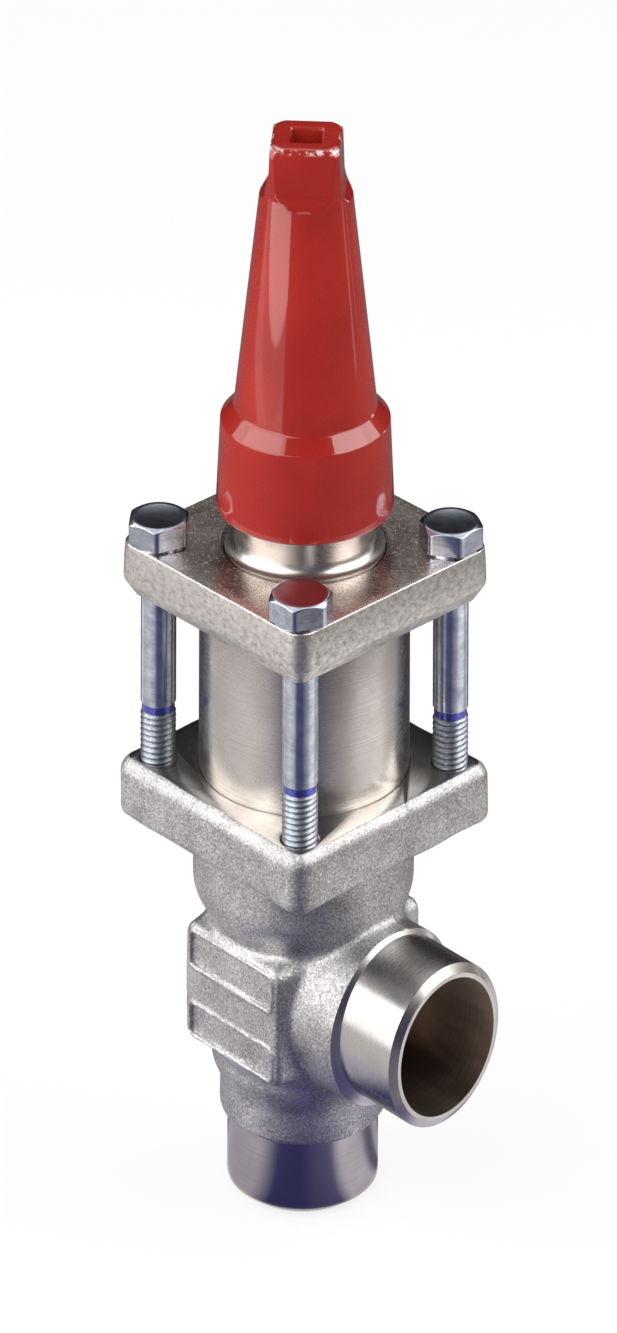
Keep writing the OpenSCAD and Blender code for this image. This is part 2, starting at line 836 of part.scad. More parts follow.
module seal_cap() {
    color("firebrick")
        difference() {
            rotate_extrude()
                polygon([
                    [cap_thread_r, cap_z],
                    [cap_rim_r - cap_rim_edge, cap_z],
                    [cap_rim_r, cap_z + cap_rim_edge],
                    [cap_skirt_top_r, skirt_top],
                    [cap_cone_r, shoulder_top],
                    [cap_cone_top_r, head_z],
                    [head_corner_r, head_z + 1],
                    [head_corner_r, cap_top - head_chamfer],
                    [head_corner_r - head_chamfer, cap_top],
                    [0, cap_top],
                    [0, cavity_top],
                    [cavity_top_r - 2, cavity_top],
                    [cavity_top_r, cavity_top - 2],
                    [cavity_foot_r, cap_step_z],
                    [cap_thread_r, cap_step_z]
                ]);
            translate([0, 0, cap_z])
                head_flats();
            rotate([0, 0, head_turn])
                translate([-socket_af / 2, -socket_af / 2, cap_top - socket_depth])
                    cube([socket_af, socket_af, socket_depth + eps]);
        }
}

body();
bonnet_gasket();
bonnet_insert();
bonnet_flange();
bonnet_bolts();
regulating_cone();
cone_seal_ring();
cone_balls();
cone_filler_screw();
spindle();
packing_washer();
disc_spring();
packing_ring(0);  // packing_ring_lower
packing_ring(1);  // packing_ring_middle
packing_ring(2);  // packing_ring_upper
packing_gland();
gland_seal();
spindle_seal();
spindle_wiper();
cap_gasket();
seal_cap();
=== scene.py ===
import math

import bmesh
import bpy
import numpy as np
from mathutils import Matrix, Quaternion, Vector

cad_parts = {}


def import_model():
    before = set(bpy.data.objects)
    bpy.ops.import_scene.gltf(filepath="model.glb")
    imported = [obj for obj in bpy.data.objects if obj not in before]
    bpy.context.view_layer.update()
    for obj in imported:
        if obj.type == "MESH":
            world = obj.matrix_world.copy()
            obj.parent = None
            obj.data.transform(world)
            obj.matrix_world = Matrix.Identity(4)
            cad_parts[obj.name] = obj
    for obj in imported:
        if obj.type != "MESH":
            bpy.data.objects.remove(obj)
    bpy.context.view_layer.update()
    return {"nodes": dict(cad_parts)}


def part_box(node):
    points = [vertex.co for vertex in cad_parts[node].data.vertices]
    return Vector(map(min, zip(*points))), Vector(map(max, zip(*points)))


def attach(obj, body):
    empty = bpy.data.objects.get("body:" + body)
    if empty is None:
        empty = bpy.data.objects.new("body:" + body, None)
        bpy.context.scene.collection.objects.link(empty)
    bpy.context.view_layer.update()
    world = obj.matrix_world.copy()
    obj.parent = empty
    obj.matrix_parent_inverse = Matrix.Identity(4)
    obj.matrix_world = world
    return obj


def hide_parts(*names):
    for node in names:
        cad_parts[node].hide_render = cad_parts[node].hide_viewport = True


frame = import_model()

# Lengths below are millimetres, and become metres when a mesh is made.
MM = 0.001


def box_mm(name):
    """The low and the high corner of a node's box."""
    low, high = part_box(name)
    return np.array(low) / MM, np.array(high) / MM


# Places read from the frame
BODY_HIGH = box_mm("body")[1]
INSERT_LOW, INSERT_HIGH = box_mm("bonnet_insert")
FLANGE_LOW, FLANGE_HIGH = box_mm("bonnet_flange")
BOLTS_LOW, BOLTS_HIGH = box_mm("bonnet_bolts")
CAP_LOW, CAP_HIGH = box_mm("seal_cap")

# Weld ends
PIPE_R = 16.85
BORE_R = 14.25
LAND_W = 0.9
BEVEL_H = 1.2
STUB_LEN = 16.2
OUTLET_X = BODY_HIGH[0]
OUTLET_Z = 47.0

# Passages, seat and guide bore
INLET_BORE_DEPTH = 17.0
OUTLET_BORE_DEPTH = 24.0
PASSAGE_R = 15.0
PASSAGE_LEAD = 2.0
PORT_R = 11.5
PORT_FOOT = 20.0
SEAT_Z = 29.0
SEAT_H = 1.0
SEAT_W = 1.6
CHAMBER_R = 16.4
GUIDE_BORE_R = 19.0

# Casting
COLLAR_R = 18.6
COLLAR_TOP = 40.0
BARREL_R = 20.4
BARREL_FOOT = 24.5
BARREL_EDGE_R = 4.5
BOWL_R = 24.7
BOWL_FOOT_R = 9.0
BOWL_Z = 59.1
BRANCH_R = 18.5
BRANCH_ROOT_R = 19.1
BRANCH_DROP = 0.8
BRANCH_CHAMFER = 0.75
BRANCH_CHAMFER_W = 4.5
PANEL_Y = 22.2
PANEL_HALF_W = 15.0
PANEL_HALF_H = 12.75
PANEL_Z = 45.5
PANEL_CORNER_R = 2.6
PANEL_DRAFT = 1.8
PANEL_ROOT_Y = 11.1
# Sunk fields of a panel: height of the middle above the panel's own, and half height
PANEL_FIELDS = ((7.6, 3.6), (-7.9, 3.2))
FIELD_HALF_W = 13.0
FIELD_DEPTH = 0.6
FIELD_RIM_R = 0.42
PARTING_Y = 3.8
PARTING_H = 0.22
PARTING_W = 0.45
WAVE_H = 0.06
GRID_STEP = 0.42
HOUSING_TOP = BODY_HIGH[2]
HOUSING_FLANGE_T = 12.4
HOUSING_FLANGE_HALF = BODY_HIGH[1]
HOUSING_CORNER_R = 4.2
HOUSING_EDGE_R = 3.6
HOUSING_FOOT_EDGE_R = 1.8

# Widths over which the parts of the casting run into each other
BARREL_BLEND = 2.5
BRANCH_BLEND = 5.0
PANEL_BLEND = 2.6
BOWL_BLEND = 3.2

# Bonnet insert and flange
INSERT_R = INSERT_HIGH[0]
INSERT_FOOT = HOUSING_TOP - 2
SPIGOT_FOOT = INSERT_LOW[2]
NECK_TOP = INSERT_HIGH[2]
NECK_R = 15.3
NECK_FILLET_R = 2.8
NECK_THREAD_R = 16.4
NECK_PITCH = 2.0
NECK_PLAIN_H = 10.5
NECK_POCKET_R = 13.0
NECK_POCKET_H = 13.0
PACKING_R = 9.5
PACKING_FOOT = NECK_TOP - 41
SPINDLE_BORE_R = 7.0
CENTRE_RING_R = 18.1
FLANGE_HALF = FLANGE_HIGH[0]
FLANGE_FOOT = FLANGE_LOW[2]
FLANGE_TOP = FLANGE_HIGH[2]
FLANGE_CORNER_R = 4.5
FLANGE_CREASE_H = 4.0

# Bolts
BOLT_AT = HOUSING_FLANGE_HALF - 7.15
BOLT_R = 4.0
BOLT_ROOT_R = 3.5
BOLT_PITCH = 1.25
BOLT_THREAD_LEN = 22.0
BOLT_HOLE_R = 4.5
BOLT_HEAD_HALF_AF = 6.5
TAP_R = BOLT_R + 0.05
# Corner of the flange that a bolt stands at, and the degrees that its head is turned
BOLT_TURNS = ((-1, -1, 12), (1, -1, 4), (1, 1, 34), (-1, 1, 24))
BOLT_TIP = BOLTS_LOW[2]
BOLT_HEAD_TOP = BOLTS_HIGH[2]

# Seal cap
CAP_Z = CAP_LOW[2]
CAP_TOP = CAP_HIGH[2]
CAP_RIM_R = CAP_HIGH[0]
CAP_SKIRT_TOP_R = 19.1
CAP_SKIRT_TOP = CAP_Z + 19.3
CAP_SHOULDER_TOP = CAP_SKIRT_TOP + 3.0
CAP_CONE_R = 16.1
CAP_CONE_TOP_R = 10.4
HEAD_Z = CAP_TOP - 11.5
HEAD_HALF_AF = 8.2
HEAD_TOP_HALF_AF = 7.8
HEAD_CORNER_R = 10.6
HEAD_EDGE_R = 0.9
HEAD_TURN = 43
RUNOUT_R = 4.5
SOCKET_HALF_AF = 3.6
SOCKET_DEPTH = 10.0
CAP_THREAD_R = NECK_THREAD_R + 0.05
CAP_THREAD_H = 17.0
CAVITY_R = 13.16
CAVITY_TOP_R = 7.76
CAVITY_LEAD = 2.0
CAP_ROOF = 15.0


def circle(radius, z, segments):
    """The points of a circle at height z."""
    turns = [2 * math.pi * k / segments for k in range(segments)]
    return [(radius * math.cos(a), radius * math.sin(a), z) for a in turns]


def arc(centre, radius, start, end, steps):
    """Points of an arc from start to end degrees."""
    angles = np.radians(np.linspace(start, end, steps + 1))
    return [(centre[0] + radius * math.cos(a), centre[1] + radius * math.sin(a)) for a in angles]


def rounded(points, steps=5):
    """An outline whose corners given as (x, y, radius) become arcs."""
    outline = []
    for i, point in enumerate(points):
        corner = np.array(point[:2], float)
        if len(point) == 2:
            outline.append(tuple(corner))
            continue
        before = np.array(points[i - 1][:2]) - corner
        after = np.array(points[(i + 1) % len(points)][:2]) - corner
        reach = min(np.linalg.norm(before), np.linalg.norm(after)) * 0.49
        before /= np.linalg.norm(before)
        after /= np.linalg.norm(after)
        half = math.acos(float(np.clip(before @ after, -1, 1))) / 2
        cut = min(point[2] / math.tan(half), reach)
        radius = cut * math.tan(half)
        middle = (before + after) / np.linalg.norm(before + after)
        centre = corner + middle * radius / math.sin(half)
        start = corner + before * cut - centre
        end = corner + after * cut - centre
        a0 = math.atan2(start[1], start[0])
        turn = (math.atan2(end[1], end[0]) - a0 + math.pi) % (2 * math.pi) - math.pi
        for k in range(steps + 1):
            a = a0 + turn * k / steps
            outline.append((centre[0] + radius * math.cos(a), centre[1] + radius * math.sin(a)))
    return outline


def lathe(outline, segments=160):
    """Points and faces of a closed outline of (radius, height) turned about Z."""
    verts = []
    rings = []
    for radius, height in outline:
        if radius < 1e-6:
            rings.append([len(verts)] * segments)
            verts.append((0, 0, height))
            continue
        rings.append(list(range(len(verts), len(verts) + segments)))
        verts.extend(circle(radius, height, segments))
    faces = []
    for i, ring in enumerate(rings):
        above = rings[(i + 1) % len(rings)]
        if ring[0] == ring[1] and above[0] == above[1]:
            continue
        for k in range(segments):
            n = (k + 1) % segments
            face = [ring[k], ring[n], above[n], above[k]]
            faces.append(list(dict.fromkeys(face)))
    return verts, faces


def square_ring(half, corner_r, z, steps=8):
    """The points of a square with rounded corners at height z."""
    points = []
    reach = half - corner_r
    for turn, sx, sy in ((0, 1, 1), (90, -1, 1), (180, -1, -1), (270, 1, -1)):
        corner = arc((sx * reach, sy * reach), corner_r, turn, turn + 90, steps)
        points += [(x, y, z) for x, y in corner]
    return points


def loft(rings):
    """Points and faces of a closed solid through rings of equal count."""
    count = len(rings[0])
    verts = [p for ring in rings for p in ring]
    faces = [list(range(count))[::-1], list(range(len(verts) - count, len(verts)))]
    for i in range(len(rings) - 1):
        for k in range(count):
            n = (k + 1) % count
            a = i * count
            b = a + count
            faces.append([a + k, a + n, b + n, b + k])
    return verts, faces


def threaded_rod(root_r, crest_r, pitch, z_low, z_high, segments=72, slices=10):
    """A closed rod with a rounded screw thread that fades out at both ends."""
    count = int((z_high - z_low) / pitch * slices)
    rings = []
    for i in range(count + 1):
        z = z_low + (z_high - z_low) * i / count
        fade = min(1, (z - z_low) / pitch * 1.5, (z_high - z) / pitch * 2.5)
        ring = []
        for k in range(segments):
            a = 2 * math.pi * k / segments
            wave = 0.5 + 0.5 * math.cos(2 * math.pi * z / pitch - a)
            r = root_r + (crest_r - root_r) * wave ** 0.7 * fade
            ring.append((r * math.cos(a), r * math.sin(a), z))
        rings.append(ring)
    return loft(rings)


def joined(*shapes):
    """Several (points, faces) pairs as one."""
    verts = []
    faces = []
    for more_verts, more_faces in shapes:
        base = len(verts)
        verts.extend(map(tuple, more_verts))
        faces.extend([[base + i for i in face] for face in more_faces])
    return verts, faces


def moved(shape, to=(0, 0, 0), turn=0):
    """A shape turned by some degrees about Z and moved."""
    cosine, sine = math.cos(math.radians(turn)), math.sin(math.radians(turn))
    spin = np.array([[cosine, sine, 0], [-sine, cosine, 0], [0, 0, 1]])
    return np.array(shape[0], float) @ spin + np.array(to, float), shape[1]


def along_outlet(shape):
    """A shape made along Z, laid along the outlet axis with its foot at the spindle axis."""
    verts = np.array(shape[0], float)
    laid = np.stack([verts[:, 2], verts[:, 1], OUTLET_Z - verts[:, 0]], 1)
    return laid, [face[::-1] for face in shape[1]]


def make_object(name, shape):
    mesh = bpy.data.meshes.new(name)
    verts = np.asarray(shape[0], float) * MM
    mesh.from_pydata(verts.tolist(), [], [list(map(int, face)) for face in shape[1]])
    made = bpy.data.objects.new(name, mesh)
    bpy.context.scene.collection.objects.link(made)
    work = bmesh.new()
    work.from_mesh(mesh)
    bmesh.ops.recalc_face_normals(work, faces=work.faces)
    work.to_mesh(mesh)
    work.free()
    return made


def shape_of(piece):
    """Takes a piece out of the scene and gives its points and faces in mm."""
    mesh = piece.data
    verts = [tuple(c / MM for c in v.co) for v in mesh.vertices]
    faces = [list(p.vertices) for p in mesh.polygons]
    bpy.data.objects.remove(piece)
    return verts, faces


def combine(piece, operations):
    """Unions and cuts a piece with closed shapes, in turn."""
    tools = []
    for operation, shape in operations:
        tool = make_object("tool", shape)
        tools.append(tool)
        step = piece.modifiers.new("combine", "BOOLEAN")
        step.operation = operation
        step.solver = "MANIFOLD"
        step.object = tool
    graph = bpy.context.evaluated_depsgraph_get()
    mesh = bpy.data.meshes.new_from_object(piece.evaluated_get(graph))
    piece.modifiers.clear()
    piece.data = mesh
    mesh.name = piece.name
    for tool in tools:
        bpy.data.meshes.remove(tool.data)
    return piece


def shade(piece, angle=32):
    """Smooth shading, with edges sharper than the angle kept crisp."""
    work = bmesh.new()
    work.from_mesh(piece.data)
    bmesh.ops.dissolve_degenerate(work, dist=2e-6, edges=work.edges)
    for face in work.faces:
        face.smooth = True
    for edge in work.edges:
        edge.smooth = len(edge.link_faces) == 2 and edge.calc_face_angle(0) < math.radians(angle)
    work.to_mesh(piece.data)
    work.free()


def assign(piece, materials, choose=None):
    """Gives a piece its materials; choose turns face centres and normals into slot numbers."""
    mesh = piece.data
    mesh.materials.clear()
    for material in materials:
        mesh.materials.append(material)
    if choose is None:
        return
    centres = np.empty(len(mesh.polygons) * 3)
    normals = np.empty(len(mesh.polygons) * 3)
    mesh.polygons.foreach_get("center", centres)
    mesh.polygons.foreach_get("normal", normals)
    slots = choose(centres.reshape(-1, 3) / MM, normals.reshape(-1, 3))
    mesh.polygons.foreach_set("material_index", np.asarray(slots, np.int32))


def finish_piece(piece, body, slot, *nodes):
    """Says what a piece rides on, and hides the CAD pieces it replaces; the slot is not used."""
    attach(piece, body)
    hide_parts(*nodes)


# Material helpers


def node(tree, kind, inputs=None, **settings):
    """A new node; an input is either linked or set to a value."""
    made = tree.nodes.new(kind)
    for key, value in settings.items():
        setattr(made, key, value)
    for key, value in (inputs or {}).items():
        if isinstance(value, bpy.types.NodeSocket):
            tree.links.new(value, made.inputs[key])
        else:
            made.inputs[key].default_value = value
    return made


def bare_nodes(owner):
    """A material or world with an empty node tree, and that tree."""
    owner.use_nodes = True
    owner.node_tree.nodes.clear()
    return owner, owner.node_tree


def new_material(name, **constants):
    """A material with a Principled shader whose constant sockets are set by name."""
    material, tree = bare_nodes(bpy.data.materials.new(name))
    shader = node(tree, "ShaderNodeBsdfPrincipled")
    for key, value in constants.items():
        shader.inputs[key.replace("_", " ")].default_value = value
    node(tree, "ShaderNodeOutputMaterial", {"Surface": shader.outputs["BSDF"]})
    return material, tree


def place_mm(tree, stretch=(1, 1, 1)):
    """Object coordinates in millimetres, so a texture scale of 1 has features about 1 mm wide."""
    coords = node(tree, "ShaderNodeTexCoord")
    scaled = node(tree, "ShaderNodeVectorMath", {0: coords.outputs["Object"]}, operation="MULTIPLY")
    scaled.inputs[1].default_value = [s / MM for s in stretch]
    return scaled.outputs["Vector"]


def calc(tree, operation, a, b=0.0):
    return node(tree, "ShaderNodeMath", {0: a, 1: b}, operation=operation).outputs[0]


def blend(tree, a, share_a, b, share_b):
    """The sum of two values, each times its share."""
    return calc(tree, "ADD", calc(tree, "MULTIPLY", a, share_a), calc(tree, "MULTIPLY", b, share_b))


def noise(tree, place, scale, detail=2.0, roughness=0.5):
    settings = {"Vector": place, "Scale": scale, "Detail": detail, "Roughness": roughness}
    return node(tree, "ShaderNodeTexNoise", settings).outputs["Fac"]


def speckle(tree, place, scale):
    """A random number for each cell of a Voronoi pattern."""
    cells = node(tree, "ShaderNodeTexVoronoi", {"Vector": place, "Scale": scale})
    return node(tree, "ShaderNodeSeparateColor", {0: cells.outputs["Color"]}).outputs[0]


def spread(tree, value, low, high, to_low=0.0, to_high=1.0):
    """Maps a range onto another, clamped."""
    settings = {"Value": value, "From Min": low, "From Max": high, "To Min": to_low, "To Max": to_high}
    return node(tree, "ShaderNodeMapRange", settings).outputs["Result"]


def colours(tree, value, *stops):
    """A colour ramp of (position, linear rgb) stops."""
    ramp = node(tree, "ShaderNodeValToRGB", {"Fac": value})
    while len(ramp.color_ramp.elements) < len(stops):
        ramp.color_ramp.elements.new(0.5)
    for element, (position, rgb) in zip(ramp.color_ramp.elements, stops):
        element.position = position
        element.color = (*rgb, 1)
    return ramp.outputs["Color"]


def mix(tree, share, a, b):
    """A colour between a and b; each is a socket or an rgb triple."""
    made = node(tree, "ShaderNodeMix", data_type="RGBA")
    for socket, value in ((made.inputs[0], share), (made.inputs[6], a), (made.inputs[7], b)):
        if isinstance(value, bpy.types.NodeSocket):
            tree.links.new(value, socket)
        elif isinstance(value, tuple):
            socket.default_value = (*value, 1)
        else:
            socket.default_value = value
    return made.outputs[2]


def bump(tree, height, depth_mm):
    """A normal bent by a height that is worth depth_mm at 1."""
    settings = {"Height": height, "Distance": depth_mm * MM, "Strength": 1.0}
    return node(tree, "ShaderNodeBump", settings).outputs["Normal"]


def link(material, **sockets):
    """Joins values to the sockets of a material's shader, named with _ for a space."""
    tree = material.node_tree
    shader = tree.nodes["Principled BSDF"]
    for key, value in sockets.items():
        tree.links.new(value, shader.inputs[key.replace("_", " ")])
    return material


def turning(tree, axis):
    """A coordinate that is constant along the marks a lathe leaves about an axis."""
    coords = node(tree, "ShaderNodeTexCoord")
    apart = node(tree, "ShaderNodeSeparateXYZ", {0: coords.outputs["Object"]})
    x, y, z = (calc(tree, "MULTIPLY", apart.outputs[i], 1 / MM) for i in range(3))
    if axis == "X":
        x, z = calc(tree, "SUBTRACT", z, OUTLET_Z), x
    square = calc(tree, "ADD", calc(tree, "POWER", x, 2.0), calc(tree, "POWER", y, 2.0))
    return calc(tree, "ADD", calc(tree, "SQRT", square), z)


def turned_marks(tree, axis):
    """The fine marks of a turning tool about an axis."""
    settings = {"W": turning(tree, axis), "Scale": 2.5, "Detail": 3.0, "Roughness": 0.7}
    return node(tree, "ShaderNodeTexNoise", settings, noise_dimensions="1D").outputs["Fac"]


def turned_steel(name, dark, light, axis="Z", rough=(0.24, 0.4)):
    """Bright steel with fine marks round an axis and a little unevenness."""
    material, tree = new_material(name, Metallic=1.0)
    marks = turned_marks(tree, axis)
    clouds = noise(tree, place_mm(tree), 0.12, 3.0, 0.6)
    tone = blend(tree, marks, 0.45, clouds, 0.55)
    return link(
        material,
        Base_Color=colours(tree, tone, (0.3, dark), (0.7, light)),
        Roughness=spread(tree, tone, 0.3, 0.7, rough[1], rough[0]),
        Normal=bump(tree, marks, 0.006),
    )


def cast_steel():
    """Shot-blasted casting: a fine even grain, soft lumps and a few painted glints, bright cells in the
    colour.
    """
    material, tree = new_material("cast_skin", Metallic=1.0)
    place = place_mm(tree)
    grain = noise(tree, place, 2.2, 4.0, 0.75)
    lumps = noise(tree, place, 0.16, 3.0)
    # Painted glints: a few cells near white in the colour, a little glossier
    painted_glint = calc(tree, "GREATER_THAN", speckle(tree, place, 2.4), 0.955)
    tone = blend(tree, grain, 0.8, lumps, 0.2)
    skin = colours(
        tree, tone,
        (0.38, (0.28, 0.272, 0.276)), (0.50, (0.54, 0.528, 0.528)), (0.61, (0.84, 0.825, 0.82)),
    )
    rough = spread(tree, grain, 0.35, 0.65, 0.50, 0.36)
    height = calc(tree, "ADD", grain, calc(tree, "MULTIPLY", lumps, 2.0))
    return link(
        material,
        Base_Color=mix(tree, calc(tree, "MULTIPLY", painted_glint, 0.6), skin, (0.93, 0.92, 0.90)),
        Roughness=calc(tree, "SUBTRACT", rough, calc(tree, "MULTIPLY", painted_glint, 0.12)),
        Normal=bump(tree, height, 0.13),
    )


def plated_top():
    """The milled faces of the bonnet flange: satin with fine dark specks and sparse painted glints."""
    material, tree = new_material("plated_satin", Metallic=1.0)
    place = place_mm(tree)
    specks = noise(tree, place, 2.4, 4.0, 0.7)
    clouds = noise(tree, place, 0.09, 2.0)
    tone = blend(tree, specks, 0.6, clouds, 0.4)
    satin = colours(
        tree, tone,
        (0.40, (0.38, 0.31, 0.28)), (0.50, (0.63, 0.55, 0.50)), (0.60, (0.92, 0.85, 0.79)),
    )
    # Painted glints: sparse pale cells in the colour, a little rougher
    painted_glint = spread(tree, speckle(tree, place, 3.0), 0.86, 0.98, 0.0, 0.6)
    rough = spread(tree, specks, 0.35, 0.65, 0.34, 0.22)
    return link(
        material,
        Base_Color=mix(tree, painted_glint, satin, (0.95, 0.88, 0.82)),
        Roughness=calc(tree, "ADD", rough, calc(tree, "MULTIPLY", painted_glint, 0.3)),
        Normal=bump(tree, specks, 0.03),
    )


def plated_side():
    """The forged sides of the bonnet flange: pale, lightly mottled, with shallow scale marks."""
    material, tree = new_material("plated_forged", Metallic=1.0)
    scale_marks = noise(tree, place_mm(tree, (1, 1, 1.5)), 0.6, 5.0, 0.62)
    grain = noise(tree, place_mm(tree), 2.0, 3.0, 0.6)
    tone = blend(tree, scale_marks, 0.7, grain, 0.3)
    skin = colours(
        tree, tone,
        (0.36, (0.42, 0.39, 0.36)), (0.48, (0.66, 0.635, 0.605)), (0.62, (0.88, 0.86, 0.83)),
    )
    return link(
        material,
        Base_Color=skin,
        Roughness=spread(tree, tone, 0.35, 0.65, 0.48, 0.35),
        Normal=bump(tree, tone, 0.09),
    )


def zinc_plate():
    """Bright blue zinc plate with faint marks round the bolt and cloudy patches."""
    material, tree = new_material("blue_zinc", Metallic=1.0)
    marks = noise(tree, place_mm(tree, (0.3, 0.3, 3)), 0.9, 3.0, 0.6)
    clouds = noise(tree, place_mm(tree), 0.35, 3.0, 0.6)
    tone = blend(tree, marks, 0.35, clouds, 0.65)
    zinc = colours(
        tree, tone,
        (0.34, (0.36, 0.41, 0.50)), (0.50, (0.52, 0.57, 0.66)), (0.66, (0.70, 0.74, 0.81)),
    )
    return link(
        material,
        Base_Color=zinc,
        Roughness=spread(tree, tone, 0.35, 0.65, 0.25, 0.15),
        Normal=bump(tree, marks, 0.008),
    )


def bored_steel():
    """The outlet's bore: tool marks round it, and a brown tone that is darker towards the bottom, with
    streaks along the axis that are painted reflections.
    """
    material, tree = new_material("bored_outlet", Metallic=0.86)
    marks = turned_marks(tree, "X")
    # Streaks along the axis: painted reflections in the colour
    painted_streaks = noise(tree, place_mm(tree, (0.35, 1, 1)), 0.16, 2.0, 0.5)
    apart = node(tree, "ShaderNodeSeparateXYZ", {0: place_mm(tree)})
    height = spread(tree, apart.outputs[2], OUTLET_Z - 12, OUTLET_Z + 8)
    uneven = blend(tree, marks, 0.15, painted_streaks, 0.35)
    tone = calc(tree, "ADD", uneven, calc(tree, "MULTIPLY", height, 0.5))
    brown_with_painted_streaks = colours(
        tree, tone,
        (0.28, (0.19, 0.14, 0.11)), (0.42, (0.55, 0.42, 0.33)), (0.56, (1.0, 0.82, 0.68)),
    )
    return link(
        material,
        Base_Color=brown_with_painted_streaks,
        Roughness=spread(tree, marks, 0.3, 0.7, 0.42, 0.28),
        Normal=bump(tree, marks, 0.006),
    )


def red_enamel():
    """Glossy enamel with a slight orange peel, dull patches, and chips along the head's edges."""
    coat = {"Coat_Weight": 1.0, "Coat_Roughness": 0.03, "Coat_IOR": 1.62}
    material, tree = new_material("red_enamel", Specular_IOR_Level=0.12, **coat)
    place = place_mm(tree)
    peel = noise(tree, place, 0.55, 2.0)
    clouds = noise(tree, place, 0.06, 3.0)
    dust = noise(tree, place, 2.2, 3.0, 0.7)
    paint = colours(tree, clouds, (0.35, (0.30, 0.015, 0.011)), (0.65, (0.37, 0.021, 0.013)))
    apart = node(tree, "ShaderNodeSeparateXYZ", {0: place})
    edge = spread(tree, apart.outputs[2], CAP_TOP - 1.4, CAP_TOP - 0.6)
    flat = node(tree, "ShaderNodeVectorMath", {0: place, 1: (1, 1, 0)}, operation="MULTIPLY").outputs[0]
    away = node(tree, "ShaderNodeVectorMath", {0: flat}, operation="LENGTH").outputs[1]
    chips = spread(tree, noise(tree, place, 0.36, 4.0, 0.75), 0.50, 0.57)
    outer = calc(tree, "GREATER_THAN", away, HEAD_TOP_HALF_AF - 1.4)
    below = calc(tree, "LESS_THAN", apart.outputs[2], CAP_TOP - 0.1)
    for limit in (edge, outer, below):
        chips = calc(tree, "MULTIPLY", chips, limit)
    return link(
        material,
        Base_Color=mix(tree, chips, paint, (0.72, 0.58, 0.54)),
        Roughness=spread(tree, dust, 0.4, 0.7, 0.22, 0.32),
        Normal=bump(tree, peel, 0.009),
    )


def grained(name, dark, light, grain, rough, depth, **constants):
    """A material whose colour, roughness and relief all follow one grain."""
    material, tree = new_material(name, **constants)
    marks = noise(tree, place_mm(tree), *grain)
    return link(
        material,
        Base_Color=colours(tree, marks, (0.35, dark), (0.65, light)),
        Roughness=spread(tree, marks, *rough),
        Normal=bump(tree, marks, depth),
    )


CAST = cast_steel()
MACHINED = turned_steel("machined_face", (0.48, 0.45, 0.42), (0.66, 0.63, 0.60), rough=(0.18, 0.28))
MACHINED_OUTLET = turned_steel(
    "machined_outlet", (0.48, 0.46, 0.44), (0.68, 0.66, 0.64), axis="X", rough=(0.2, 0.34),
)
BORE = bored_steel()
INSERT = turned_steel("turned_insert", (0.56, 0.525, 0.495), (0.72, 0.685, 0.65), rough=(0.22, 0.34))
PLATED_TOP = plated_top()
PLATED_SIDE = plated_side()
ZINC = zinc_plate()
# The same zinc on a rolled thread, where it is duller
THREAD_ZINC = grained(
    "thread_zinc", (0.26, 0.285, 0.33), (0.44, 0.47, 0.52),
    (1.6, 4.0, 0.65), (0.35, 0.65, 0.46, 0.34), 0.015, Metallic=1.0,
)
# And in the groove between shank and thread, a deep blue that is painted shade and reflection
RUNOUT_PAINTED_SHADE = grained(
    "runout_painted_shade", (0.11, 0.12, 0.50), (0.19, 0.20, 0.68),
    (1.2, 3.0, 0.6), (0.35, 0.65, 0.32, 0.22), 0.01, Metallic=1.0,
)
ENAMEL = red_enamel()


# The housing casting


def smooth_min(a, b, width):
    """The smaller of two distances, with a fillet where they are alike."""
    share = np.clip(0.5 + 0.5 * (b - a) / width, 0, 1)
    return b * (1 - share) + a * share - width * share * (1 - share)


def smooth_max(a, b, width):
    return -smooth_min(-a, -b, width)


def round_corner(u, v, radius):
    """The overlap of two half spaces whose common edge has a radius."""
    outside = np.hypot(np.maximum(u + radius, 0), np.maximum(v + radius, 0))
    return outside + np.minimum(np.maximum(u, v) + radius, 0) - radius


def slab(value, low, high):
    return np.abs(value - (low + high) / 2) - (high - low) / 2


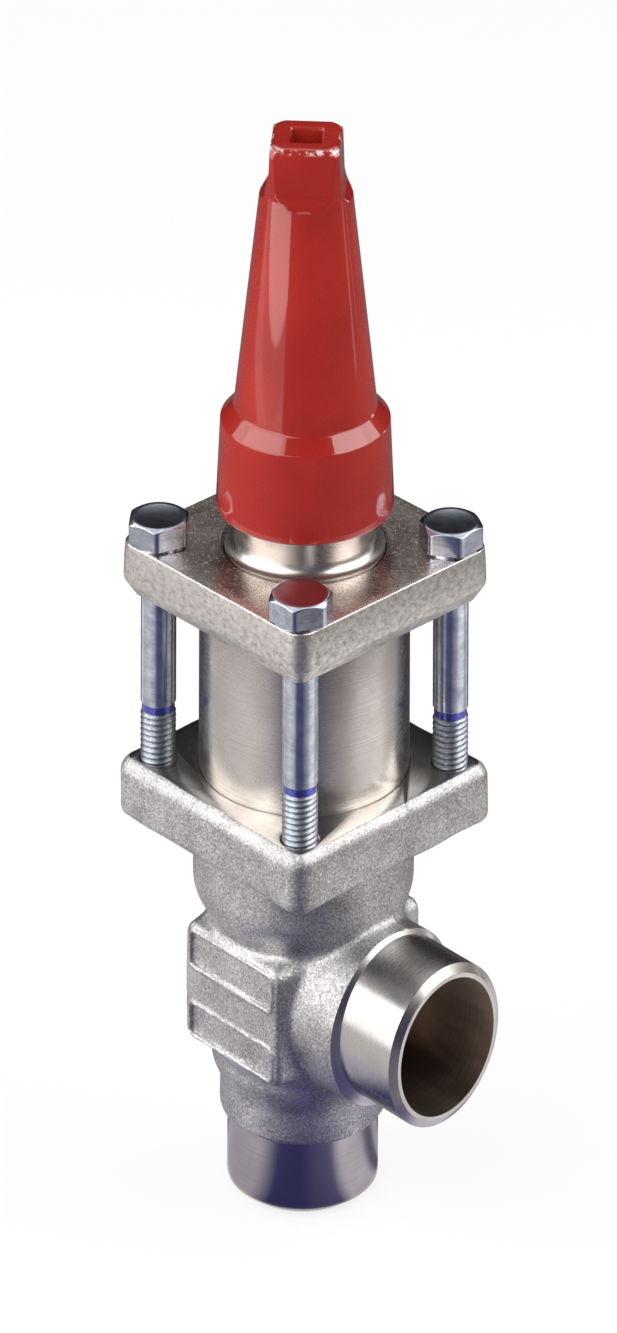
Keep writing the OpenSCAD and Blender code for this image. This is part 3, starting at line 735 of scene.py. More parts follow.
def casting(p):
    """Signed distance in mm, about, to the casting before any machining."""
    x, y, z = p[..., 0], p[..., 1], p[..., 2]
    r = np.hypot(x, y)
    collar = round_corner(r - COLLAR_R, slab(z, STUB_LEN, COLLAR_TOP), 1.0)
    barrel = round_corner(r - BARREL_R, slab(z, BARREL_FOOT, BOWL_Z + 8), BARREL_EDGE_R)
    bowl = round_corner(r - BOWL_R, slab(z, BOWL_Z, HOUSING_TOP - 1), BOWL_FOOT_R)
    shape = smooth_min(collar, barrel, BARREL_BLEND)

    branch_r = np.hypot(y, z - OUTLET_Z + BRANCH_DROP)
    shoulder_x = OUTLET_X - STUB_LEN
    taper = BRANCH_ROOT_R + (BRANCH_R - BRANCH_ROOT_R) * np.clip(x / shoulder_x, 0, 1)
    branch = round_corner(branch_r - taper, slab(x, -5, shoulder_x + 0.3), 0.4)
    shape = smooth_min(shape, branch, BRANCH_BLEND)

    depth = np.clip((PANEL_Y - np.abs(y)) / (PANEL_Y - PANEL_ROOT_Y), 0, 1)
    grow = PANEL_DRAFT * depth
    across = np.abs(x) - PANEL_HALF_W - grow
    upright = np.abs(z - PANEL_Z) - PANEL_HALF_H - grow
    outline = round_corner(across, upright, PANEL_CORNER_R + grow)
    panel = smooth_max(outline, np.abs(y) - PANEL_Y, 1.7)
    for above, half_h in PANEL_FIELDS:
        field = round_corner(np.abs(x) - FIELD_HALF_W, np.abs(z - PANEL_Z - above) - half_h, 1.0)
        level = PANEL_Y - np.abs(y)
        panel = smooth_max(panel, -np.maximum(field, level - FIELD_DEPTH), 0.3)
        rim = np.hypot(field - 0.4, level - 0.05) - FIELD_RIM_R
        panel = smooth_min(panel, rim, 0.35)
    shape = smooth_min(shape, panel, PANEL_BLEND)
    shape = smooth_min(shape, bowl, BOWL_BLEND)

    half = HOUSING_FLANGE_HALF
    foot = HOUSING_TOP - HOUSING_FLANGE_T
    sides = round_corner(np.abs(x) - half, np.abs(y) - half, HOUSING_CORNER_R)
    edge_r = np.where(z > HOUSING_TOP - HOUSING_FLANGE_T / 2, HOUSING_EDGE_R, HOUSING_FOOT_EDGE_R)
    flange = round_corner(sides, slab(z, foot, HOUSING_TOP + 0.4), edge_r)
    shape = smooth_min(shape, flange, BOWL_BLEND)

    outward = (z > BOWL_Z - 4) & (x > 14)
    shape = shape - PARTING_H * outward * np.exp(-(((y - PARTING_Y) / PARTING_W) ** 2))
    waves = np.sin(0.43 * x + 1.1) * np.sin(0.37 * y + 0.4) + np.sin(0.31 * z + 0.29 * x - 0.33 * y)
    return shape + WAVE_H * waves


CORNERS = np.array([(i, j, k) for i in (0, 1) for j in (0, 1) for k in (0, 1)])
CELL_EDGES = [
    (a, b) for a in range(8) for b in range(a + 1, 8) if np.abs(CORNERS[a] - CORNERS[b]).sum() == 1
]


def net_surface(field, low, high, step):
    """A quad mesh of the zero surface of a field, with points moved onto it."""
    counts = [int(math.ceil((h - l) / step)) + 1 for l, h in zip(low, high)]
    axes = [l + step * np.arange(n) for l, n in zip(low, counts)]
    values = np.empty(counts)
    for i, x in enumerate(axes[0]):
        layer = np.stack(np.meshgrid([x], axes[1], axes[2], indexing="ij"), -1)
        values[i] = field(layer)[0]
    inside = values < 0
    nx, ny, nz = counts
    views = [inside[i:nx - 1 + i, j:ny - 1 + j, k:nz - 1 + k] for i, j, k in CORNERS]
    active = np.logical_or.reduce(views) & ~np.logical_and.reduce(views)
    cells = np.argwhere(active)
    corner_values = np.stack([values[tuple((cells + c).T)] for c in CORNERS], 1)
    total = np.zeros((len(cells), 3))
    crossings = np.zeros((len(cells), 1))
    for a, b in CELL_EDGES:
        va, vb = corner_values[:, a], corner_values[:, b]
        crosses = ((va < 0) != (vb < 0))[:, None]
        share = (va / np.where(va == vb, 1, va - vb))[:, None]
        total += np.where(crosses, CORNERS[a] + share * (CORNERS[b] - CORNERS[a]), 0)
        crossings += crosses
    points = np.array(low) + step * (cells + total / crossings)
    for _ in range(3):
        points = onto_surface(field, points)
    number = np.full(active.shape, -1)
    number[active] = np.arange(len(cells))
    faces = []
    for axis in range(3):
        u, v = (axis + 1) % 3, (axis + 2) % 3
        here = np.moveaxis(inside, axis, 0)
        change = np.moveaxis(here[:-1] != here[1:], 0, axis)
        edges = np.argwhere(change)
        edges = edges[(edges[:, u] > 0) & (edges[:, v] > 0)]
        edges = edges[(edges[:, u] < counts[u] - 1) & (edges[:, v] < counts[v] - 1)]
        unit_u, unit_v = np.eye(3, dtype=int)[[u, v]]
        around = [edges, edges - unit_u, edges - unit_u - unit_v, edges - unit_v]
        quads = np.stack([number[tuple(c.T)] for c in around], 1)
        leaving = inside[tuple(edges.T)]
        quads[~leaving] = quads[~leaving][:, ::-1]
        faces.append(quads)
    return points, np.concatenate(faces)


def field_slope(field, points, reach=0.02):
    slope = np.empty_like(points)
    for axis in range(3):
        shift = np.zeros(3)
        shift[axis] = reach
        slope[:, axis] = (field(points + shift) - field(points - shift)) / (2 * reach)
    return slope


def onto_surface(field, points):
    slope = field_slope(field, points)
    square = np.maximum((slope ** 2).sum(1, keepdims=True), 0.05)
    return points - np.clip(field(points)[:, None] / square, -0.4, 0.4) * slope


def cast_grain(points, seed=11, height=0.012):
    """Moves points in and out a little, as sand leaves a skin."""
    slope = field_slope(casting, points)
    normal = slope / np.maximum(np.linalg.norm(slope, axis=1, keepdims=True), 1e-6)
    shift = np.random.default_rng(seed).normal(0, height, (len(points), 1))
    return points + np.clip(shift, -2 * height, 2 * height) * normal


def stub(end, inward):
    """A weld stub along Z, from its end face into the casting, upwards if inward is 1."""
    bevel = end + inward * BEVEL_H
    root = end + inward * (STUB_LEN + 4)
    return lathe([(0, end), (BORE_R + LAND_W, end), (PIPE_R, bevel), (PIPE_R, root), (0, root)])


def branch_chamfer():
    """What is turned off the end of the cast branch, round the stub."""
    shoulder = OUTLET_X - STUB_LEN
    foot_r = PIPE_R - 0.3
    rim_r = foot_r + BRANCH_CHAMFER_W
    return lathe([
        (foot_r, shoulder), (rim_r, shoulder - BRANCH_CHAMFER_W * BRANCH_CHAMFER),
        (rim_r, shoulder + 2), (foot_r, shoulder + 2),
    ])


def inner_passage():
    """What the drill and the core leave open about the spindle axis."""
    seat_rim_r = PORT_R + SEAT_W
    chamber_top = BOWL_Z + BOWL_FOOT_R / 2
    pocket_z = INSERT_FOOT - 1
    return lathe([
        (0, -1), (BORE_R, -1), (BORE_R, INLET_BORE_DEPTH), (PORT_R, PORT_FOOT), (PORT_R, SEAT_Z),
        (seat_rim_r, SEAT_Z), (seat_rim_r, SEAT_Z - SEAT_H), (CHAMBER_R, SEAT_Z - SEAT_H),
        (CHAMBER_R, chamber_top), (GUIDE_BORE_R, chamber_top + GUIDE_BORE_R - CHAMBER_R),
        (GUIDE_BORE_R, pocket_z), (INSERT_R + 0.1, pocket_z), (INSERT_R + 0.1, HOUSING_TOP - 0.15),
        (INSERT_R + 0.4, HOUSING_TOP + 0.15), (INSERT_R + 0.4, HOUSING_TOP + 3), (0, HOUSING_TOP + 3),
    ])


def outlet_passage():
    """The outlet's bore and the cored passage behind it, along Z."""
    bore_foot = OUTLET_X - OUTLET_BORE_DEPTH
    return lathe([
        (0, 0), (PASSAGE_R, 0), (PASSAGE_R, bore_foot - PASSAGE_LEAD), (BORE_R, bore_foot),
        (BORE_R, OUTLET_X + 1), (0, OUTLET_X + 1),
    ])


def tapped_hole():
    """A bolt's hole through the housing flange, with a small countersink."""
    foot = HOUSING_TOP - HOUSING_FLANGE_T - 2
    brim = HOUSING_TOP + 0.3
    return lathe([(0, foot), (TAP_R, foot), (TAP_R, brim - 0.7), (TAP_R + 0.7, brim), (0, brim)], 64)


def bolt_places():
    return [((sx * BOLT_AT, sy * BOLT_AT, 0), turn) for sx, sy, turn in BOLT_TURNS]


def housing():
    reach = HOUSING_FLANGE_HALF + 1.1
    low = (-reach, -reach, STUB_LEN - 1.3)
    high = (reach, reach, HOUSING_TOP + 1.7)
    points, faces = net_surface(casting, low, high, GRID_STEP)
    piece = make_object("housing", (cast_grain(points), faces))
    top = HOUSING_TOP
    lid = loft([square_ring(40, 1, top), square_ring(40, 1, top + 8)])
    steps = [
        ("DIFFERENCE", along_outlet(branch_chamfer())),
        ("UNION", stub(0, 1)),
        ("UNION", along_outlet(stub(OUTLET_X, -1))),
        ("DIFFERENCE", lid),
        ("DIFFERENCE", inner_passage()),
        ("DIFFERENCE", along_outlet(outlet_passage())),
    ]
    for place, _ in bolt_places():
        steps.append(("DIFFERENCE", moved(tapped_hole(), place)))
    combine(piece, steps)
    shade(piece)

    def choose(centre, normal):
        """0 the cast skin, 1 machined, 2 the outlet's stub, 3 its bore."""
        x, y, z = centre.T
        inner = casting(centre) < -0.3
        level = (z > top - 0.01) & (normal[:, 2] > 0.9)
        inlet = z < STUB_LEN - 0.02
        outlet_r = np.hypot(y, z - OUTLET_Z)
        behind = OUTLET_X - STUB_LEN - x
        chamfer = np.abs(behind - (outlet_r - PIPE_R + 0.3) * BRANCH_CHAMFER) < 0.05
        outlet = (behind < 2) & (outlet_r < PIPE_R + 0.1) | chamfer & (outlet_r < BRANCH_R + 2)
        bore = outlet_r < BORE_R + 0.9
        slots = np.where(inner | level | inlet, 1, 0)
        slots = np.where(outlet, 2, slots)
        return np.where((x > 12) & bore & (inner | outlet) & (normal[:, 0] < 0.5), 3, slots)

    assign(piece, [CAST, MACHINED, MACHINED_OUTLET, BORE], choose)
    finish_piece(piece, "valve_body", "cast_steel", "body")


def bonnet_insert():
    top = NECK_TOP
    thread_z = FLANGE_TOP + NECK_PLAIN_H
    spigot_r = CENTRE_RING_R + 0.8
    root_r = NECK_THREAD_R - 1.25
    pocket_z = top - NECK_POCKET_H
    fillet = arc((NECK_R + NECK_FILLET_R, FLANGE_TOP + NECK_FILLET_R), NECK_FILLET_R, 270, 180, 10)
    outline = rounded([
        (CENTRE_RING_R, SPIGOT_FOOT, 0.8), (spigot_r, SPIGOT_FOOT + 0.8), (spigot_r, INSERT_FOOT, 0.3),
        (INSERT_R, INSERT_FOOT, 0.3), (INSERT_R, FLANGE_FOOT, 0.5), (CENTRE_RING_R, FLANGE_FOOT, 0.3),
        (CENTRE_RING_R, FLANGE_TOP - 0.2), *fillet, (NECK_R, thread_z - 1.2, 0.4),
        (root_r, thread_z, 0.3), (root_r, top - 0.5, 0.3), (root_r - 0.5, top),
        (NECK_POCKET_R, top, 0.3), (NECK_POCKET_R, pocket_z, 0.4), (PACKING_R, pocket_z, 0.3),
        (PACKING_R, PACKING_FOOT), (SPINDLE_BORE_R, PACKING_FOOT, 0.3), (SPINDLE_BORE_R, HOUSING_TOP),
        (NECK_POCKET_R, HOUSING_TOP, 0.5), (NECK_POCKET_R, SPIGOT_FOOT, 0.3),
    ])
    piece = make_object("turned_insert", lathe(outline, 192))
    thread = threaded_rod(NECK_THREAD_R - 1.2, NECK_THREAD_R, NECK_PITCH, thread_z + 0.3, top - 0.5, 160)
    core_r = NECK_POCKET_R + 1
    core = lathe([(0, thread_z - 1), (core_r, thread_z - 1), (core_r, top + 1), (0, top + 1)])
    sleeve = combine(make_object("neck_thread", thread), [("DIFFERENCE", core)])
    combine(piece, [("UNION", shape_of(sleeve))])
    shade(piece)
    assign(piece, [INSERT])
    finish_piece(piece, "valve_body", "turned_steel", "bonnet_insert")


def bonnet_flange():
    half = FLANGE_HALF
    crease_z = FLANGE_FOOT + FLANGE_CREASE_H
    # Heights of the rings, and how far each stands in from the widest
    levels = [
        (FLANGE_FOOT, 3.1), (FLANGE_FOOT + 0.25, 2.6), (FLANGE_FOOT + 0.8, 2.2),
        (crease_z - 0.5, 0.3), (crease_z - 0.15, 0.13), (crease_z + 0.2, 0.03), (crease_z + 0.6, 0.0),
        (FLANGE_TOP - 3, 0.12),
    ]
    levels += [(z, inset) for inset, z in arc((0.65, FLANGE_TOP - 0.3), 0.3, 180, 90, 6)]
    rings = [square_ring(half - inset, max(FLANGE_CORNER_R - inset * 0.8, 1.6), z) for z, inset in levels]
    piece = make_object("clamp_flange", loft(rings))
    foot = FLANGE_FOOT - 1
    top = FLANGE_TOP + 1

    def hole(radius, edge_z, lead, segments):
        rim_r = radius + lead
        return lathe([(0, foot), (radius, foot), (radius, edge_z), (rim_r, top), (0, top)], segments)

    steps = [("DIFFERENCE", hole(CENTRE_RING_R + 0.25, FLANGE_TOP - 0.6, 1.6, 192))]
    for place, _ in bolt_places():
        steps.append(("DIFFERENCE", moved(hole(BOLT_HOLE_R, FLANGE_TOP - 0.3, 1.3, 72), place)))
    combine(piece, steps)
    shade(piece)

    def choose(centre, normal):
        x, y, _ = centre.T
        side = (np.maximum(np.abs(x), np.abs(y)) > half - 3.6) & (normal[:, 2] < 0.5)
        return np.where(side, 1, 0)

    assign(piece, [PLATED_TOP, PLATED_SIDE], choose)
    finish_piece(piece, "valve_body", "plated_flange", "bonnet_flange")


def hex_head(foot, top, half_af):
    """A bolt head: washer face, hexagon with a turned chamfer, and a flat top."""
    segments = 144
    chamfer = math.tan(math.radians(30))
    corner_r = half_af / math.cos(math.pi / 6)
    top_r = half_af - 0.3
    chamfer_foot = top - (corner_r - top_r) * chamfer
    rings = [circle(half_af - 0.15, foot, segments), circle(half_af - 0.15, foot + 0.4, segments)]
    heights = [foot + 0.5, *np.linspace(foot + 0.9, chamfer_foot - 0.2, 4)]
    heights += list(np.linspace(chamfer_foot - 0.1, top, 16))
    for z in heights:
        cone = top_r + (top - z) / chamfer
        ring = []
        for k in range(segments):
            a = 2 * math.pi * k / segments
            off = a % (math.pi / 3) - math.pi / 6
            flat = min(half_af / math.cos(off), corner_r - 0.25)
            r = float(smooth_min(flat, cone, 0.15))
            ring.append((r * math.cos(a), r * math.sin(a), z))
        rings.append(ring)
    for inset, rise in ((0.15, 0.03), (1.0, 0.03), (1.3, -0.02)):
        rings.append(circle(top_r - inset, top + rise, segments))
    return loft(rings)


def bonnet_bolts():
    groove_z = BOLT_TIP + BOLT_THREAD_LEN
    core_r = BOLT_ROOT_R - 0.1
    groove_r = BOLT_R - 0.3
    shank_r = BOLT_R - 0.03
    seat_z = FLANGE_TOP + 0.3
    shank = lathe(rounded([
        (0, BOLT_TIP), (BOLT_R - 1.0, BOLT_TIP), (core_r, BOLT_TIP + 0.5), (core_r, groove_z + 0.2),
        (groove_r, groove_z + 0.5, 0.1), (groove_r, groove_z + 2.0, 0.2),
        (shank_r, groove_z + 2.3, 0.2), (shank_r, seat_z), (0, seat_z),
    ]), 72)
    thread = threaded_rod(BOLT_ROOT_R, BOLT_R, BOLT_PITCH, BOLT_TIP + 0.3, groove_z + 0.5)
    head = hex_head(FLANGE_TOP, BOLT_HEAD_TOP, BOLT_HEAD_HALF_AF)
    bolt = joined(shank, thread, head)
    bolts = [moved(bolt, place, turn) for place, turn in bolt_places()]
    piece = make_object("hex_bolts", joined(*bolts))
    shade(piece, 28)

    def choose(centre, _):
        """0 the head and shank, 1 the thread, 2 the run-out groove."""
        above = centre[:, 2] - groove_z
        return np.where(above < 0.45, 1, np.where(above < 2.05, 2, 0))

    assign(piece, [ZINC, THREAD_ZINC, RUNOUT_PAINTED_SHADE], choose)
    finish_piece(piece, "valve_body", "zinc_plated_bolts", "bonnet_bolts")


def cap_outline():
    """The turned outside of the cap, from its rim up, without the flats."""
    return rounded([
        (CAP_RIM_R - 2, CAP_Z), (CAP_RIM_R, CAP_Z, 0.7), (CAP_SKIRT_TOP_R, CAP_SKIRT_TOP, 0.5),
        (CAP_CONE_R, CAP_SHOULDER_TOP, 1.2), (CAP_CONE_TOP_R, HEAD_Z, 0.4),
        (HEAD_CORNER_R - 0.1, HEAD_Z + 1, 0.4), (HEAD_CORNER_R, CAP_TOP, 2.3), (4, CAP_TOP),
    ], 8)


def flat_distance(z):
    """How far the head's flats, or their run-out, stand from the axis; None below them."""
    runout_z = HEAD_Z + RUNOUT_R * 0.55
    if z >= runout_z:
        share = (z - runout_z) / (CAP_TOP - runout_z)
        return HEAD_HALF_AF + (HEAD_TOP_HALF_AF - HEAD_HALF_AF) * share
    drop = runout_z - z
    if drop >= RUNOUT_R:
        return None
    return HEAD_HALF_AF + RUNOUT_R - math.sqrt(RUNOUT_R ** 2 - drop ** 2)


def cap_levels():
    """The cap's outline with more points between, close together on the head."""
    outline = cap_outline()[:-1]
    levels = outline[:1]
    for (r0, z0), (r1, z1) in zip(outline, outline[1:]):
        pitch = 0.35 if z1 > HEAD_Z - 3 else 2.5
        count = max(int((z1 - z0) / pitch), 1)
        for k in range(1, count):
            levels.append((r0 + (r1 - r0) * k / count, z0 + (z1 - z0) * k / count))
        levels.append((r1, z1))
    return levels


def cap_ring(radius, z, segments=288):
    """One level of the cap: a circle that the head's four flats cut."""
    rise = max(z - CAP_TOP + HEAD_EDGE_R, 0)
    edge = HEAD_EDGE_R - math.sqrt(max(HEAD_EDGE_R ** 2 - rise ** 2, 0))
    flat = flat_distance(z)
    ring = []
    for k in range(segments):
        a = 2 * math.pi * k / segments
        off = (a - math.radians(HEAD_TURN) + math.pi / 4) % (math.pi / 2) - math.pi / 4
        r = radius if flat is None else float(smooth_min(radius, (flat - edge) / math.cos(off), 0.12))
        ring.append((r * math.cos(a), r * math.sin(a), z))
    return ring


def seal_cap():
    piece = make_object("cap_shell", loft([cap_ring(r, z) for r, z in cap_levels()]))
    step_z = CAP_Z + CAP_THREAD_H
    roof_z = CAP_TOP - CAP_ROOF
    cavity = lathe(rounded([
        (0, CAP_Z - 1), (CAP_THREAD_R, CAP_Z - 1), (CAP_THREAD_R, step_z, 0.3), (CAVITY_R, step_z, 0.3),
        (CAVITY_TOP_R, roof_z - CAVITY_LEAD), (CAVITY_TOP_R - CAVITY_LEAD, roof_z), (0, roof_z),
    ]), 144)
    # Wider, corner radius, height above the cap's top
    levels = ((0, 0.5, -SOCKET_DEPTH), (0, 0.5, -0.5), (0.15, 0.6, -0.2), (0.5, 0.8, 0.05), (0.6, 0.8, 1))
    socket = loft([square_ring(SOCKET_HALF_AF + more, r, CAP_TOP + rise) for more, r, rise in levels])
    combine(piece, [("DIFFERENCE", cavity), ("DIFFERENCE", moved(socket, turn=HEAD_TURN))])
    shade(piece, 30)
    assign(piece, [ENAMEL])
    finish_piece(piece, "seal_cap", "red_enamel", "seal_cap")


def inner_pieces():
    """Better finishes for the CAD pieces that stay as they are."""
    bright = turned_steel("cone_steel", (0.50, 0.50, 0.50), (0.68, 0.68, 0.68))
    polished = turned_steel("spindle_steel", (0.58, 0.58, 0.59), (0.76, 0.76, 0.77), rough=(0.16, 0.26))
    yellow = turned_steel("gland_steel", (0.50, 0.46, 0.33), (0.70, 0.65, 0.48))
    soft = (0.3, 0.7, 0.42, 0.55)
    white = grained("ptfe", (0.76, 0.75, 0.71), (0.86, 0.85, 0.82), (0.8, 4.0, 0.6), soft, 0.01)
    natural = grained("nylon", (0.70, 0.65, 0.54), (0.80, 0.76, 0.66), (1.0, 4.0, 0.6), soft, 0.01)
    rubber = grained(
        "black_rubber", (0.018,) * 3, (0.035,) * 3, (2.5, 4.0, 0.6), (0.3, 0.7, 0.5, 0.68), 0.02,
    )
    fibre = grained(
        "fibre", (0.06, 0.065, 0.06), (0.13, 0.135, 0.13), (1.8, 4.0, 0.6), (0.3, 0.7, 0.75, 0.9), 0.05,
    )
    finishes = {
        bright: "regulating_cone cone_balls cone_filler_screw",
        polished: "spindle packing_washer disc_spring",
        yellow: "packing_gland",
        white: "cone_seal_ring packing_ring_lower packing_ring_middle packing_ring_upper spindle_wiper",
        rubber: "gland_seal spindle_seal",
        natural: "cap_gasket",
        fibre: "bonnet_gasket",
    }
    for material, names in finishes.items():
        for name in names.split():
            for slot in frame["nodes"][name].material_slots:
                slot.material = material


housing()
bonnet_insert()
bonnet_flange()
bonnet_bolts()
seal_cap()
inner_pieces()


# Stage, light and camera, in degrees and metres
CAMERA_AZIMUTH = 46.5
CAMERA_ELEVATION = 27.6
CAMERA_DISTANCE = 1.79
CAMERA_TARGET = Vector((0.00275, -0.00136, 0.1142))
CAMERA_LENS = 216.6
CAMERA_ROLL = 0.25


def direction(azimuth, elevation):
    """Unit vector from the object towards a place seen at an azimuth and elevation in degrees."""
    a, e = math.radians(azimuth), math.radians(elevation)
    return Vector((math.sin(a) * math.cos(e), -math.cos(a) * math.cos(e), math.sin(e)))


def floor():
    """A pale floor that keeps the object's shadow, is white far off, and is clear from below."""
    bpy.ops.mesh.primitive_circle_add(vertices=96, radius=9, fill_type="NGON", location=(0, 0, -0.0005))
    piece = bpy.context.object
    piece.name = "floor"
    material, tree = bare_nodes(bpy.data.materials.new("pale_floor"))
    clouds = noise(tree, place_mm(tree), 0.004, 2.0)
    tone = colours(tree, clouds, (0.4, (0.86, 0.86, 0.86)), (0.6, (0.88, 0.88, 0.88)))
    lit = node(tree, "ShaderNodeBsdfDiffuse", {"Color": tone})
    glow = node(tree, "ShaderNodeEmission", {"Color": (1, 1, 1, 1), "Strength": 1.0})
    path = node(tree, "ShaderNodeLightPath")
    coords = node(tree, "ShaderNodeTexCoord")
    away = node(tree, "ShaderNodeVectorMath", {0: coords.outputs["Object"]}, operation="LENGTH").outputs[1]
    share = calc(tree, "MULTIPLY", path.outputs["Is Camera Ray"], spread(tree, away, 0.6, 3.0, 0.8, 1.0))
    seen = node(tree, "ShaderNodeMixShader", {0: share, 1: lit.outputs[0], 2: glow.outputs[0]})
    clear = node(tree, "ShaderNodeBsdfTransparent")
    below = node(tree, "ShaderNodeNewGeometry").outputs["Backfacing"]
    both = node(tree, "ShaderNodeMixShader", {0: below, 1: seen.outputs[0], 2: clear.outputs[0]})
    node(tree, "ShaderNodeOutputMaterial", {"Surface": both.outputs[0]})
    piece.data.materials.append(material)


def world():
    """White where the camera and reflections see it, and a soft fill light elsewhere."""
    bpy.context.scene.world, tree = bare_nodes(bpy.data.worlds.new("studio"))
    path = node(tree, "ShaderNodeLightPath")
    seen = calc(tree, "MAXIMUM", path.outputs["Is Camera Ray"], path.outputs["Is Glossy Ray"])
    seen = calc(tree, "MAXIMUM", seen, path.outputs["Is Transmission Ray"])
    strength = spread(tree, seen, 0, 1, 0.42, 1.0)
    back = node(tree, "ShaderNodeBackground", {"Color": (1, 1, 1, 1), "Strength": strength})
    node(tree, "ShaderNodeOutputWorld", {"Surface": back.outputs[0]})


def soft_light(name, bearing, elevation, distance, width, height, radiance):
    """A rectangular softbox; its bearing is degrees to the right of the camera."""
    lamp = bpy.data.lights.new(name, "AREA")
    lamp.shape = "RECTANGLE"
    lamp.size = width
    lamp.size_y = height
    lamp.energy = radiance * math.pi * width * height
    made = bpy.data.objects.new(name, lamp)
    bpy.context.scene.collection.objects.link(made)
    away = direction(CAMERA_AZIMUTH + bearing, elevation)
    made.location = CAMERA_TARGET + away * distance
    made.rotation_mode = "QUATERNION"
    made.rotation_quaternion = away.to_track_quat("Z", "Y")
    made.visible_camera = False


def bearing_card(name, rings, *tones):
    """A card round the object that only reflections see.

    Its rings are (radius, height) in metres, and its tones (bearing from the camera, linear rgb).
    """
    angles = np.radians(np.linspace(tones[0][0], tones[-1][0], 73))
    count = len(angles)
    verts = []
    faces = []
    for radius, z in rings:
        for a in angles:
            verts.append((radius * math.cos(a) / MM, radius * math.sin(a) / MM, z / MM))
    for i in range(len(rings) - 1):
        for k in range(count - 1):
            a = i * count + k
            faces.append([a, a + 1, a + 1 + count, a + count])
    piece = make_object(name, (verts, faces))
    piece.rotation_euler = (0, 0, math.radians(CAMERA_AZIMUTH - 90))
    material, tree = new_material(name, Roughness=1.0, Specular_IOR_Level=0.0)
    coords = node(tree, "ShaderNodeTexCoord")
    round_about = node(tree, "ShaderNodeTexGradient", {0: coords.outputs["Object"]}, gradient_type="RADIAL")
    stops = [(0.5 + bearing / 360, tone) for bearing, tone in tones]
    link(material, Base_Color=colours(tree, round_about.outputs["Fac"], *stops))
    piece.data.materials.append(material)
    piece.visible_camera = False
    piece.visible_diffuse = False
    piece.visible_shadow = False
    piece.visible_transmission = False


def camera():
    """A camera whose film stands upright, so that the spindle's height isn't foreshortened."""
    data = bpy.data.cameras.new("camera")
    data.lens = CAMERA_LENS
    made = bpy.data.objects.new("camera", data)
    back = bpy.data.objects.new("camera_back", None)
    for item in (back, made):
        bpy.context.scene.collection.objects.link(item)
    away = direction(CAMERA_AZIMUTH, CAMERA_ELEVATION)
    place = CAMERA_TARGET + away * CAMERA_DISTANCE
    roll = Quaternion(away, math.radians(CAMERA_ROLL))
    turn = roll @ away.to_track_quat("Z", "Y")
    made.location = place
    made.rotation_mode = "QUATERNION"
    made.rotation_quaternion = turn
    level = Matrix.Translation(place) @ turn.to_matrix().to_4x4()
    upright = level.copy()
    upright.col[1] = (*(roll @ Vector((0, 0, 1))), 0)
    made.parent = back
    made.matrix_parent_inverse = upright @ level.inverted()
    bpy.context.scene.camera = made


# Tones that come back in the cards
NIGHT = (0.014, 0.012, 0.016)
TAUPE = (0.35, 0.31, 0.28)
BROWN = (0.16, 0.12, 0.13)
DUSK = (0.08, 0.07, 0.07)
PALE = (0.7, 0.66, 0.64)

floor()
world()
# Name, bearing, elevation, distance, width, height, radiance
soft_light("left_high_box", -70, 42, 1.0, 2.1, 0.75, 2.0)
soft_light("left_low_box", -69, 10, 0.66, 0.92, 0.42, 1.9)
soft_light("right_high_box", 86, 40, 1.0, 1.2, 0.75, 3.0)
soft_light("right_low_strip", 124, 6, 0.8, 0.10, 0.40, 2.4)
bearing_card(
    "stub_ground_card", [(0.0175, 0.001), (0.07, 0.001)],
    (-180, (0.03, 0.03, 0.08)), (-134, (0.03, 0.03, 0.09)), (-114, (0.52, 0.50, 0.60)),
    (-52, (0.52, 0.50, 0.59)), (-30, (0.035, 0.035, 0.14)), (0, (0.035, 0.035, 0.14)),
    (12, (0.07, 0.065, 0.17)), (34, (0.10, 0.095, 0.20)), (46, (0.64, 0.62, 0.72)),
    (76, (0.66, 0.64, 0.74)), (88, (0.16, 0.15, 0.25)), (98, (0.16, 0.15, 0.25)),
    (106, (0.56, 0.54, 0.62)), (118, (0.56, 0.54, 0.62)), (128, (0.03, 0.03, 0.10)),
    (180, (0.03, 0.03, 0.08)),
)
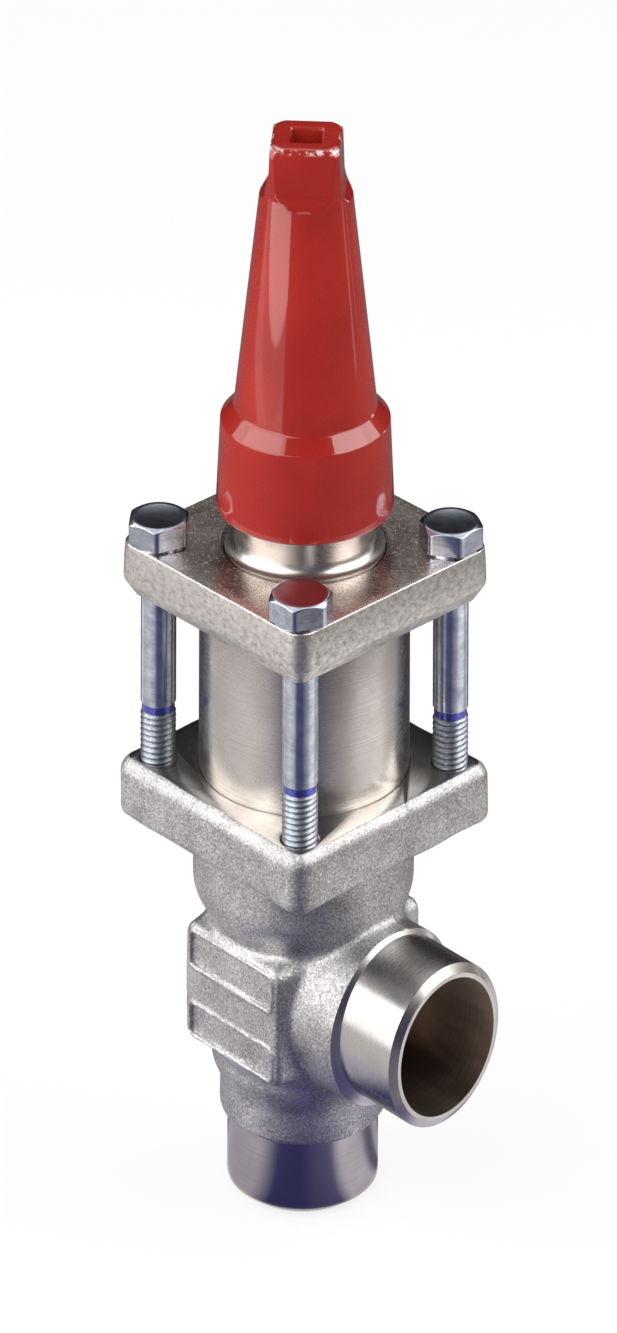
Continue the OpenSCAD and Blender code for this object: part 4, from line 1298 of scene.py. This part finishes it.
bearing_card(
    "near_ground_card", [(0.07, 0.001), (0.33, 0.001)],
    (-180, (0.03, 0.026, 0.03)), (-142, (0.03, 0.03, 0.05)), (-128, (0.72, 0.71, 0.70)),
    (-118, (0.66, 0.64, 0.63)), (-106, (0.46, 0.45, 0.45)), (-60, (0.60, 0.58, 0.57)),
    (-34, (0.44, 0.42, 0.43)), (-20, (0.08, 0.08, 0.15)), (12, (0.07, 0.07, 0.14)),
    (30, (0.26, 0.24, 0.25)), (46, (0.40, 0.37, 0.38)), (60, (0.74, 0.72, 0.72)),
    (88, (0.88, 0.87, 0.86)), (98, (0.46, 0.44, 0.44)), (112, (0.46, 0.44, 0.44)),
    (124, (0.78, 0.76, 0.75)), (136, (0.05, 0.045, 0.06)), (180, (0.03, 0.026, 0.03)),
)
bearing_card(
    "skirt_ground_card", [(0.33, 0.001), (0.62, 0.001)],
    (-180, BROWN), (-110, (0.14, 0.11, 0.11)), (0, (0.05, 0.05, 0.07)), (110, (0.13, 0.11, 0.11)),
    (180, BROWN),
)
bearing_card(
    "far_ground_card", [(0.62, 0.001), (1.2, 0.001)],
    (-180, BROWN), (-106, (0.10, 0.08, 0.08)), (-100, (0.42, 0.38, 0.37)),
    (-38, (0.55, 0.50, 0.48)), (-35, (0.05, 0.05, 0.06)), (92, DUSK), (94, PALE), (96.5, PALE),
    (98, DUSK), (106, DUSK), (107.5, PALE), (109, DUSK), (180, BROWN),
)
bearing_card(
    "wall_card", [(1.25, 0.0), (1.25, 0.55), (1.1, 0.95)],
    (-180, NIGHT), (-122, NIGHT), (-108, TAUPE), (-34, TAUPE), (-20, (0.04, 0.04, 0.08)),
    (36, (0.04, 0.04, 0.08)), (50, TAUPE), (104, TAUPE), (122, NIGHT), (180, NIGHT),
)
bearing_card(
    "brow_card", [(1.1, 0.95), (0.8, 1.5), (0.3, 1.9)],
    (-46, (0.05, 0.045, 0.05)), (54, (0.05, 0.045, 0.05)),
)
camera()
bpy.context.scene.view_settings.view_transform = "Standard"
